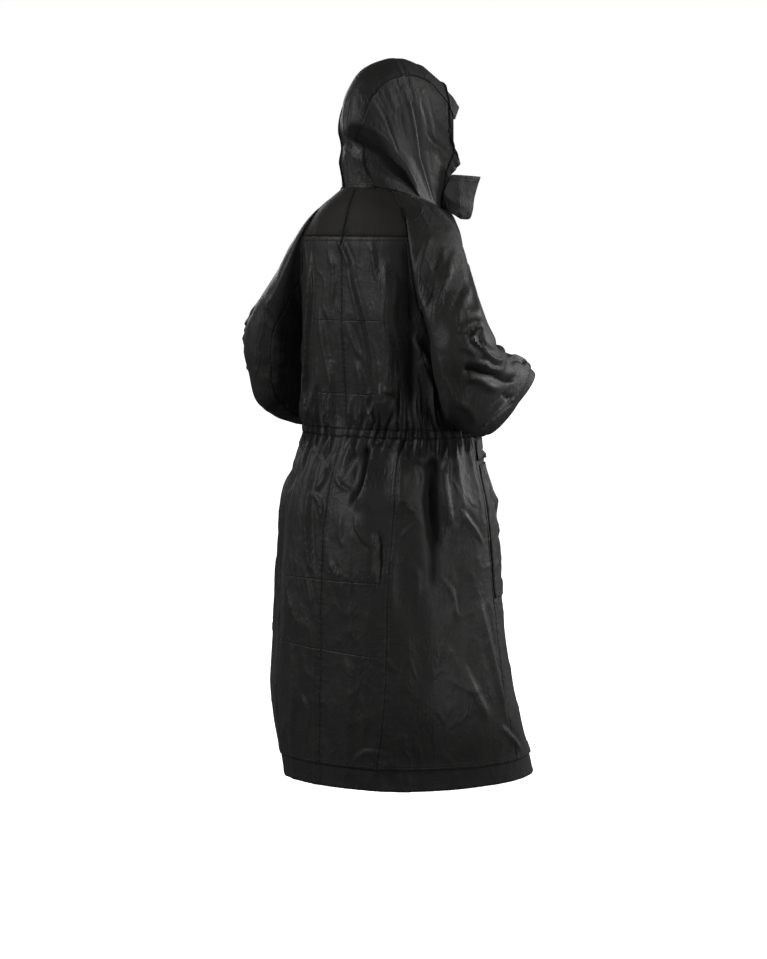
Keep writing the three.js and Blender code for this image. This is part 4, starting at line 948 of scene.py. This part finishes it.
def addAllowances(grid, normals, layers, values):
    # Each sewn side goes on for a few millimetres behind its neighbour.
    for side, kind in values["edges"].items():
        if kind not in ("seam", "over") or side in values.get("bare", ()):
            continue
        axis = 0 if side in ("top", "bottom") else 1
        first = side in ("top", "left")
        turn = slice(None) if first else slice(None, None, -1)
        grid, normals = np.swapaxes(grid, 0, axis)[turn], np.swapaxes(normals, 0, axis)[turn]
        run = unit(grid[0] - grid[4])
        width = allowance["deep" if side in values.get("deep", ()) else "width"]
        edge = grid[:1] + run[None] * width - normals[:1] * allowance["below"]
        grid = np.swapaxes(np.concatenate([edge, grid])[turn], 0, axis)
        normals = np.swapaxes(np.concatenate([normals[:1], normals])[turn], 0, axis)
        padding = [(0, 0), (0, 0)]
        padding[axis] = (1, 0) if first else (0, 1)
        layers = [np.pad(value, padding, mode="edge") for value in layers]
    return grid, normals, layers


def wallFaces(rows, columns, closed):
    # Faces of both skins and the rims, by vertex and by the grid's own points.
    used = columns - 1 if closed else columns
    count = rows * used
    row, column = np.arange(rows - 1), np.arange(columns - 1)
    i, j = (index.ravel() for index in np.meshgrid(row, column, indexing="ij"))

    def quads(width, following):
        here, below = i * width, (i + 1) * width
        return np.stack([here + j, below + j, below + following, here + following], 1)

    corner, cell = quads(used, (j + 1) % used if closed else j + 1), quads(columns, j + 1)
    faces, cells = [corner[:, ::-1], corner + count], [cell[:, ::-1], cell]

    def rim(a, b, cellA, cellB):
        faces.append(np.stack([a, b, b + count, a + count], 1)[:, ::-1])
        cells.append(np.stack([cellA, cellB, cellB, cellA], 1)[:, ::-1])

    last, following = rows - 1, (column + 1) % used if closed else column + 1
    rim(column, following, column, column + 1)
    rim(last * used + following, last * used + column, last * columns + column + 1, last * columns + column)
    if not closed:
        end = columns - 1
        rim((row + 1) * used, row * used, (row + 1) * columns, row * columns)
        rim(row * used + end, (row + 1) * used + end, row * columns + end, (row + 1) * columns + end)
    return np.concatenate(faces), np.concatenate(cells)


def wallMesh(name, outer, inner, faces, cells, layers):
    mesh = bpy.data.meshes.new(name)
    vertices = np.concatenate([outer.reshape(-1, 3), inner.reshape(-1, 3)]) / 1000
    mesh.vertices.add(len(vertices))
    mesh.vertices.foreach_set("co", vertices.ravel())
    mesh.loops.add(faces.size)
    mesh.loops.foreach_set("vertex_index", faces.ravel().astype(np.int32))
    mesh.polygons.add(len(faces))
    mesh.polygons.foreach_set("loop_start", np.arange(0, faces.size, 4, dtype=np.int32))
    mesh.update(calc_edges=True)
    for i, uvName in enumerate(("cloth", "seam", "relief")):
        layer = mesh.uv_layers.new(name=uvName, do_init=False)
        pair = np.stack([value.ravel()[cells.ravel()] / 1000 for value in layers[2 * i:2 * i + 2]], 1)
        layer.data.foreach_set("uv", pair.ravel().astype(np.float32))
    mesh.polygons.foreach_set("use_smooth", np.ones(len(faces), dtype=bool))
    mesh.set_sharp_from_angle(angle=math.radians(sharpAngle))
    mesh.validate()
    return mesh


def makeCloth(node, grid, values, flip=False, closed=False, relief=None, cross=None):
    # node: the solid that the piece replaces; grid: rows by columns of points on the outer face.
    shape = grid.shape[:2]
    acrossLength, downLength = cumulative(grid, 1), cumulative(grid, 0)
    reach = {
        "left": acrossLength, "right": acrossLength[:, -1:] - acrossLength,
        "top": downLength, "bottom": downLength[-1:] - downLength,
    }
    normals = gridNormals(grid, flip, closed)
    lift = np.zeros(shape)
    for side, kind in values["edges"].items():
        lift = lift + edgeHeight(reach[side], kind)
    shown = grid + normals * lift[..., None]
    normals = gridNormals(shown, flip, closed)
    away, along = np.full(shape, farAway), np.zeros(shape)
    for side in values["stitched"]:
        closer = reach[side] < away
        away = np.where(closer, reach[side], away)
        along = np.where(closer, downLength if side in ("left", "right") else acrossLength, along)
    relief = np.zeros(shape) if relief is None else relief
    cross = np.full(shape, farAway) if cross is None else cross
    middle = acrossLength - acrossLength[:, shape[1] // 2][:, None]
    layers = [middle, downLength, away, along, relief * 1000, cross]
    grid, normals, layers = addAllowances(shown, normals, layers, values)
    faces, cells = wallFaces(*grid.shape[:2], closed)
    if flip:
        faces, cells = faces[:, ::-1], cells[:, ::-1]
    inner = grid - normals * values["thickness"]
    end = -1 if closed else None
    mesh = wallMesh(f"{node}_cloth", grid[:, :end], inner[:, :end], faces, cells, layers)
    piece = bpy.data.objects.new(f"{node}_cloth", mesh)
    bpy.context.scene.collection.objects.link(piece)
    mesh.materials.append(materials[values["slot"]])
    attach(piece, "root")
    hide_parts(node)
    step = np.cross(shown[1:, :-1] - shown[:-1, :-1], shown[:-1, 1:] - shown[:-1, :-1])
    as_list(values["restsOn"])
    pieces.append((f"{node}_cloth", len(faces) * 2))


def raglan(z, column):
    return sample(raglanRows, np.clip(z, underarmLevel, neckLevel))[..., column]


def bodyPanel(name, side, top, bottom, fromAngle, toAngle, values, spacing):
    # fromAngle and toAngle give the panel's two sides at each level, from the back to the front.
    levels = edged(top, bottom, spacing, top - bottom)
    first, second = fromAngle(levels), toAngle(levels)
    middle = len(levels) // 2
    along = np.linspace(0, 1, 40)
    ring = bodyForm(first[middle] + (second[middle] - first[middle]) * along, np.full(40, levels[middle]))
    length = np.linalg.norm(np.diff(ring, axis=0), axis=1).sum()
    shares = edged(0, 1, values.get("across", spacing), length)
    angles = side * (first[:, None] + (second - first)[:, None] * shares[None])
    z = np.broadcast_to(levels[:, None], angles.shape)
    grid, relief = bodyGrid(angles, z)
    makeCloth(name, grid, values, flip=side < 0, relief=relief, cross=crossDistance(angles, z))


def steady(value):
    return lambda z: np.full(z.shape, float(value))


def backSeam(z):
    return backSeamTop + (backSeamBottom - backSeamTop) * (casingBottom - z) / (casingBottom - skirtEdge)


# Stitched rows across the back: angle and level at both ends, from the wearer's right to the left.
crossRows = [
    (-44, -96, 44, -98), (-29, -274, 28, -276), (-19.5, -438, 20, -440), (-33, -850, 33, -852),
    (-32, -1014, 31, -1000),
]


def crossDistance(angle, z):
    # Distance to the nearest row, with a sign that changes only on a row.
    value, flips = np.full(angle.shape, farAway), np.zeros(angle.shape, dtype=int)
    for first, firstZ, last, lastZ in crossRows:
        gap = z - (firstZ + (lastZ - firstZ) * (angle - first) / (last - first))
        flips += gap < 0
        gap = np.where((angle > first) & (angle < last), np.abs(gap), farAway)
        value = np.minimum(value, gap)
    return value * np.where(flips % 2, -1, 1)


def clothValues(slot, held, restsOn, edges, stitched, **more):
    # Values that every piece of cloth has.
    thickness = {"shell": 1.7, "yoke": 1.7, "trim": 1.9, "tape": 1.4}[slot]
    return {"slot": slot, "thickness": thickness, "held": held, "restsOn": restsOn,
            "edges": edges, "stitched": stitched, **more}


def bothSides(name):
    return [f"{name}_left", f"{name}_right"]


allSides = ["left", "right", "top", "bottom"]
seamed, hemmed = dict.fromkeys(allSides, "seam"), dict.fromkeys(allSides, "hem")
hemBelow = {**seamed, "bottom": "hem"}
panelValues = {
    "yoke": clothValues("yoke", "draped", bothSides("back"), seamed, ["left", "right", "bottom"]),
    "back": clothValues("shell", "hung", bothSides("yoke"), seamed, ["left", "right"]),
    "front": clothValues("shell", "hung", bothSides("sleeve_upper"), seamed, ["left"]),
    "casing": clothValues(
        "trim", "gathered", bothSides("back"), seamed, ["top", "bottom"], across=2.4),
    "skirt_back": clothValues(
        "shell", "hung", bothSides("waist_casing"), hemBelow, ["left", "right", "bottom"]),
    "skirt_side": clothValues("shell", "hung", bothSides("waist_casing"), hemBelow, ["left", "bottom"]),
}
panelValues["skirt_front"] = panelValues["skirt_side"]


def backRaglan(z):
    return raglan(z, 0)


def frontRaglan(z):
    return raglan(z, 1)


# Name, values, top, bottom, the angles of both sides and the spacing of the points.
panelRows = [
    ("yoke", "yoke", neckLevel, yokeLevel, steady(0), backRaglan, 4.0),
    ("back", "back", yokeLevel, casingTop, steady(0), backRaglan, 3.5),
    ("front", "front", neckLevel, casingTop, frontRaglan, steady(180), 4.2),
    ("waist_casing", "casing", casingTop, casingBottom, steady(0), steady(180), 2.5),
    ("skirt_back", "skirt_back", casingBottom, skirtEdge, steady(0), backSeam, 4.2),
    ("skirt_side", "skirt_side", casingBottom, skirtEdge, backSeam, steady(sideSeam), 4.2),
    ("skirt_front", "skirt_front", casingBottom, skirtEdge, steady(sideSeam), steady(180), 4.2),
]
sides = (("left", 1), ("right", -1))
for sideName, side in sides:
    for name, kind, top, bottom, fromAngle, toAngle, spacing in panelRows:
        bodyPanel(f"{name}_{sideName}", side, top, bottom, fromAngle, toAngle, panelValues[kind], spacing)
print("body panels made")

# Sleeves.
sleeveValues = {
    "cuffLength": 25.0, "spacing": 4.0, "tuck": 12.0, "inset": 5.0, "bandSpacing": 2.5, "bandColumns": 145,
    "upper": clothValues(
        "shell", "hung", [], {**seamed, "top": "over", "bottom": "hem"}, ["top", "left", "right", "bottom"]),
    "under": clothValues("shell", "hung", [], hemBelow, ["bottom"]),
    "cuff": clothValues("trim", "hung", [], {"top": "free", "bottom": "hem"}, ["bottom"]),
}
# Part and its first and last column: the upper panel goes from 12 round to 32, the under panel from 8 to 12.
sleeveParts = [("upper", 12.0, 32.0), ("under", 8.0, 12.0)]
sleeveCreases = {
    "left": leftCreases + otherSleeve(rightCreases, 250, 420),
    "right": rightCreases + otherSleeve(leftCreases, 120, 280),
}
reaches = sleeveReach(bodySurface)
shellEnd = 11 - sleeveValues["cuffLength"] / (reaches[-1] - reaches[-2])


def sleevePlace(along):
    return np.interp(along, reaches, np.arange(len(reaches)))


def sleeveLine(path, count=60):
    path, t = np.array(path, dtype=float), np.linspace(0, 1, count)
    key = np.linspace(0, 1, len(path))
    places = hermite(key, path, t) if len(path) > 2 else path[0] + (path[1] - path[0]) * t[:, None]
    grid, _ = sleeveForm(bodySurface, places[:, 0], np.mod(places[:, 1], 360) / 15)
    return grid[np.arange(count), np.arange(count)]


def buildSleeve(sideName, side):
    mirror = np.array([side, 1, 1])
    rows = [
        (0.9, cloud, (60, 60, 60), 3.0 + side), (0.7, cloud, (26, 26, 40), 5.0),
        (3.8, crumples, (50, 50, 190), 5.0 + side), (0.6, crumples, (34, 34, 90), 6.0),
        (0.3, cloud, (12, 12, 14), 8.0),
    ]
    lines = [sleeveLine(crease["path"]) for crease in sleeveCreases[sideName]]
    endReach = np.interp(shellEnd, np.arange(len(reaches)), reaches)
    places = sleevePlace(edged(0, endReach, sleeveValues["spacing"], endReach))
    for part, first, second in sleeveParts:
        columns = edged(first, second, 0.19, second - first, near=(0.05, 0.12, 0.24))
        grid, out = sleeveForm(bodySurface, places, columns % 24)
        relief = creaseRelief(grid, out, sleeveCreases[sideName], lines) + softness(grid, rows)
        relief = relief * smooth(0.0, 0.35, places)[:, None]
        values = {**sleeveValues[part], "restsOn": [f"front_{sideName}", f"yoke_{sideName}"]}
        makeCloth(f"sleeve_{part}_{sideName}", (grid + out * relief[..., None]) * mirror, values,
                  flip=side > 0, relief=relief)
    start, length = endReach - sleeveValues["tuck"], reaches[-1] - endReach + sleeveValues["tuck"]
    bandPlaces = sleevePlace(edged(start, reaches[-1], sleeveValues["bandSpacing"], length, near=(1.0, 2.0)))
    grid, out = sleeveForm(bodySurface, bandPlaces, np.linspace(0, 24, sleeveValues["bandColumns"]) % 24)
    grid = grid - out * sleeveValues["inset"]
    relief = 0.6 * cloud(grid, (20, 20, 26), 1.0)
    values = {**sleeveValues["cuff"], "restsOn": [f"sleeve_upper_{sideName}"]}
    makeCloth(f"cuff_band_{sideName}", (grid + out * relief[..., None]) * mirror, values,
              flip=side > 0, closed=True, relief=relief)


for sideName, side in sides:
    buildSleeve(sideName, side)
print("sleeves made")

# Hood. Columns 0 to 18 run from the left foot over the crown to the right foot.
hoodValues = {
    "gathers": 12, "gatherDepth": 1.7, "end": 13.0,
    "side": clothValues("shell", "draped", bothSides("yoke"), seamed, []),
    "centre": clothValues(
        "shell", "draped", bothSides("hood_side"), {**seamed, "left": "over", "right": "over"},
        ["left", "right"]),
    "channel": clothValues(
        "trim", "gathered", bothSides("hood_side"), seamed, ["top", "bottom"], thickness=1.8, bare=["top"]),
    "visor": clothValues(
        "trim", "stretched", ["hood_centre"], {**seamed, "top": "hem"}, ["top", "bottom"], thickness=1.8,
        bare=["left", "right"], forward=(2.0, 26.0), down=(3.0, 30.0)),
}
hoodSoftness = [
    (1.4, cloud, (55, 55, 60), 1.0), (0.7, cloud, (24, 24, 28), 7.0),
    (2.2, crumples, (40, 40, 90), 7.0), (1.0, crumples, (24, 24, 44), 8.0), (0.25, cloud, (12, 12, 12), 3.0),
]


def hoodSurface(arch, column):
    return hoodColumn(neck, arch, column)


def hoodNormal(arch, column, step=0.06):
    behind, ahead = np.clip(arch - step, 0, 13), np.clip(arch + step, 0, 13)
    before, after = np.clip(column - step, 0, 18), np.clip(column + step, 0, 18)
    across = hoodSurface(arch, after) - hoodSurface(arch, before)
    return unit(np.cross(across, hoodSurface(ahead, column) - hoodSurface(behind, column)))


hoodLines = [creaseLine(hoodSurface, crease["path"]) for crease in hoodCreases]


def hoodGrid(arches, columns):
    arch, column = np.meshgrid(arches, columns, indexing="ij")
    grid, normals = hoodSurface(arch, column), hoodNormal(arch, column)
    step = np.where(column <= hoodSteps, column, 2 * hoodSteps - column)
    channel = bell((arch - 0.1) / 0.5) * smooth(0.6, 1.4, step) * (1 - smooth(5.2, 5.9, step))
    relief = hoodValues["gatherDepth"] * channel * np.cos(math.tau * hoodValues["gathers"] * step / 6)
    fade = smooth(0, 0.5, step) * (1 - smooth(12.4, 13, arch))
    soft = creaseRelief(grid, normals, hoodCreases, hoodLines) + softness(grid, hoodSoftness)
    relief = relief + soft * fade
    return grid + normals * relief[..., None], relief


# Name, part, first and last column, and the sides that meet the neck.
hoodPanels = [
    ("hood_side_left", "side", 0.0, 6.0, ["left"]), ("hood_centre", "centre", 6.0, 12.0, ["bottom"]),
    ("hood_side_right", "side", 12.0, 18.0, ["right"]),
]
archEnd = hoodValues["end"]
arches = edged(hoodChannel, archEnd, 0.105, archEnd - hoodChannel, near=(0.03, 0.07, 0.14))
for name, part, first, second, deep in hoodPanels:
    grid, relief = hoodGrid(arches, edged(first, second, 0.1, second - first, near=(0.03, 0.07, 0.14)))
    makeCloth(name, grid, {**hoodValues[part], "deep": deep}, relief=relief)
for name, first, second in (("hood_channel_left", 0.0, 6.0), ("hood_channel_right", 12.0, 18.0)):
    columns = edged(first, second, 0.06, second - first, near=(0.03, 0.07, 0.12))
    grid, relief = hoodGrid(np.linspace(0, hoodChannel, 12), columns)
    makeCloth(name, grid, hoodValues["channel"], relief=relief)

# Brim: rows that reach forward and down from the face edge, most in the middle.
columns = edged(6.0, 12.0, 0.08, 6.0, near=(0.03, 0.07, 0.12))
faceGrid, _ = hoodGrid(np.linspace(0, hoodChannel, 10), columns)
brim = hoodValues["visor"]
share = np.sin(np.pi * (columns - 6) / 6)
forward, down = (low + (high - low) * share for low, high in (brim["forward"], brim["down"]))
brimRows = []
for reach in np.linspace(1, 0, 12, endpoint=False):
    row = faceGrid[0] + hoodForward * (forward * reach)[:, None]
    row[:, 2] -= down * reach ** 1.3
    brimRows.append(row)
makeCloth("hood_visor", np.concatenate([np.array(brimRows), faceGrid]), brim)
print("hood made")

# Throat flaps: step on the face edge, then the free edge's aside, forward and z.
flapOutline = np.array([
    (0.4, 54, 130, -50), (0.7, 50, 155, -50), (1, 48, 165, -34), (1.5, 46, 174, 4), (2, 45, 188, 46),
], dtype=float)
flapValues = clothValues(
    "shell", "hung", [], {**hemmed, "left": "free"}, ["right", "top", "bottom"], thickness=1.8,
    start=1.2, bulge=9.0, drop=0.6)
flapSoftness = [(1.5, cloud, (30, 30, 30), 0.0), (3.5, crumples, (30, 30, 52), 9.0)]


def throatFlap(sideName, side):
    steps = edged(0.4, 2.0, 3.5, 110)
    outline = sample(flapOutline, steps)
    row = sample(faceEdge, steps)
    edge = hoodPlace(side * row[:, 0], row[:, 1], row[:, 2])
    foot = neck(np.full(len(steps), side * hoodFoot))
    edge = np.where(steps[:, None] < 1, foot + (edge - foot) * steps[:, None], edge)
    root = edge + hoodForward * flapValues["start"]
    free = hoodPlace(side * outline[:, 0], outline[:, 1], outline[:, 2])
    t = edged(0, 1, 3.5, 90)
    grid = root[:, None] + (free - root)[:, None] * t[None, :, None]
    late = np.where(outline[:, 2:3] < 0, t[None] ** flapValues["drop"], t[None])
    grid[..., 2] = root[:, None, 2] + (free - root)[:, None, 2] * late
    soft = softness(grid, flapSoftness) * smooth(0, 0.3, t)[None]
    bulge = flapValues["bulge"] * np.sin(np.pi * t)[None] + soft
    grid = grid + side * bulge[..., None] * hoodAside
    values = {**flapValues, "restsOn": [f"hood_channel_{sideName}"]}
    makeCloth(f"throat_flap_{sideName}", grid, values, flip=side > 0)


for sideName, side in sides:
    throatFlap(sideName, side)

# Hem band, inside the skirt's edge.
hemValues = clothValues(
    "trim", "hung", bothSides("skirt_back"), {"left": "seam", "right": "seam", "bottom": "hem"}, ["bottom"],
    inset=2.9)
for sideName, side in sides:
    levels = edged(hemTop, hemBottom, 4.2, hemTop - hemBottom)
    angle, z = np.meshgrid(side * edged(0, 180, 4.2, 900), levels)
    grid, relief = bodyGrid(angle, z, -hemValues["inset"])
    makeCloth(f"hem_band_{sideName}", grid, hemValues, flip=side < 0, relief=relief)

# Placket and zip at the centre front.
frontValues = {
    "front_placket": clothValues(
        "trim", "hung", bothSides("front"), hemmed, allSides,
        half=28.0, top=-42.0, bottom=skirtEdge + 10, lift=2.9),
    "front_zip": clothValues(
        "tape", "hung", bothSides("front"), {}, ["left", "right"],
        half=13.0, top=-48.0, bottom=skirtEdge + 60, lift=-2.7),
}


def frontAngle(x, z):
    row = sample(bodySections, z)
    return 180 - np.degrees(np.arcsin((np.abs(x) / row[..., 0]) ** (row[..., 5] / 2)))


for name, values in frontValues.items():
    levels = edged(values["top"], values["bottom"], 4.0, values["top"] - values["bottom"])
    x, z = np.meshgrid(edged(-values["half"], values["half"], 3.5, 2 * values["half"]), levels)
    grid, relief = bodyGrid(np.where(x < 0, -1, 1) * frontAngle(x, z), z, values["lift"])
    makeCloth(name, grid, values, flip=True, relief=relief)

# Pockets and flaps: patches between two levels, from the back edge's angles to another angle.
flapEdges = {"left": "hem", "right": "hem", "bottom": "hem"}
patchValues = {
    "pocket": clothValues(
        "shell", "stretched", [], hemmed, allSides, thickness=1.8, top=-597.0, bottom=-893.0, to=148.0,
        back=[(-893, 107), (-793, 107), (-640, 110), (-597, 112)], lift=2.3, flare=0.0, bulge=3.0, width=120),
    "pocket_flap": clothValues(
        "trim", "hung", [], flapEdges, allSides, top=-541.0, bottom=-588.0, to=141.0,
        back=[(-588, 108), (-541, 108)], lift=2.6, flare=2.0, bulge=1.0, width=120),
    "chest_flap": clothValues(
        "trim", "hung", [], flapEdges, allSides, top=-186.0, bottom=-230.0, to=156.0,
        back=[(-230, 127), (-186, 127)], lift=2.6, flare=9.0, bulge=1.0, width=95),
}
for name, values in patchValues.items():
    for sideName, side in sides:
        levels = edged(values["top"], values["bottom"], 3.2, values["top"] - values["bottom"])
        start = np.interp(levels, *zip(*values["back"]))
        t = edged(0, 1, 3.2, values["width"])
        angle = start[:, None] + (values["to"] - start)[:, None] * t[None]
        share = ((values["top"] - levels) / (values["top"] - values["bottom"]))[:, None]
        crown = values["bulge"] * np.sin(np.pi * t)[None] ** 0.6 * np.sin(np.pi * share) ** 0.6
        lift = values["lift"] + values["flare"] * share + crown
        grid, relief = bodyGrid(side * angle, levels[:, None], lift)
        makeCloth(f"{name}_{sideName}", grid, {**values, "restsOn": [f"skirt_front_{sideName}"]},
                  flip=side < 0, relief=relief)
print("trims made")

# Floor and light.
floorValues = {
    "level": -1.551, "size": 60.0, "colour": (0.86, 0.86, 0.855), "nearGlow": 0.75, "farGlow": 1.1,
    "near": 1.2, "far": 5.0,
}
floorMesh = bpy.data.meshes.new("floor")
half, level = floorValues["size"] / 2, floorValues["level"]
corners = [(-half, -half, level), (half, -half, level), (half, half, level), (-half, half, level)]
floorMesh.from_pydata(corners, [], [(0, 1, 2, 3)])
floor = bpy.data.objects.new("floor", floorMesh)
bpy.context.scene.collection.objects.link(floor)
floorMaterial, floorShader, start = painted("floorPaint")
x, y, _ = start.node("ShaderNodeTexCoord", {}, {}, "Object").parts()
away = start.math("SQRT", x * x + y * y).between(floorValues["near"], floorValues["far"])
start.feed(floorShader, {
    "Base Color": (*floorValues["colour"], 1.0), "Roughness": 0.9, "Specular IOR Level": 0.1,
    "Emission Strength": floorValues["farGlow"],
    "Emission Color": away * (1 - floorValues["nearGlow"]) + floorValues["nearGlow"],
})
floor.visible_diffuse, floor.visible_glossy = False, False
floorMesh.materials.append(floorMaterial)

# The world is white to the camera and dim to every other ray.
world = bpy.data.worlds.new("studio")
world.use_nodes = True
start = Socket(world.node_tree)
seen = start.node("ShaderNodeLightPath", {}, {}, "Is Camera Ray")
strength = start.node("ShaderNodeMapRange", {}, {"Value": seen, "To Min": 0.12, "To Max": 1.0})
background = next(node for node in world.node_tree.nodes if node.type == "BACKGROUND")
start.feed(background, {"Color": (1.0, 1.0, 1.0, 1.0), "Strength": strength})
bpy.context.scene.world = world

# Place in metres, size in metres and power in watts of each soft light.
lightRows = {
    "keyLight": ((-3.9, -1.3, 2.4), 0.5, 120), "backLight": ((2.4, 3.3, 1.2), 0.6, 112),
    "sideLight": ((-4.9, 0.9, -0.5), 0.9, 72), "cameraLight": ((-3.4, 5.2, -0.4), 1.6, 26),
    "frontLight": ((-1.8, -4.9, 0.9), 1.3, 150), "leftLight": ((4.6, -2.0, 1.0), 1.5, 60),
}
lightTarget = Vector((0, 0, -0.4))
for name, (place, size, power) in lightRows.items():
    data = bpy.data.lights.new(name, "AREA")
    data.shape, data.size, data.energy = "SQUARE", size, power
    light = bpy.data.objects.new(name, data)
    bpy.context.scene.collection.objects.link(light)
    light.location = place
    light.rotation_euler = (Vector(place) - lightTarget).to_track_quat("Z", "Y").to_euler()
bpy.context.scene.view_settings.view_transform = "Standard"
print("triangles", sum(count for _, count in pieces))
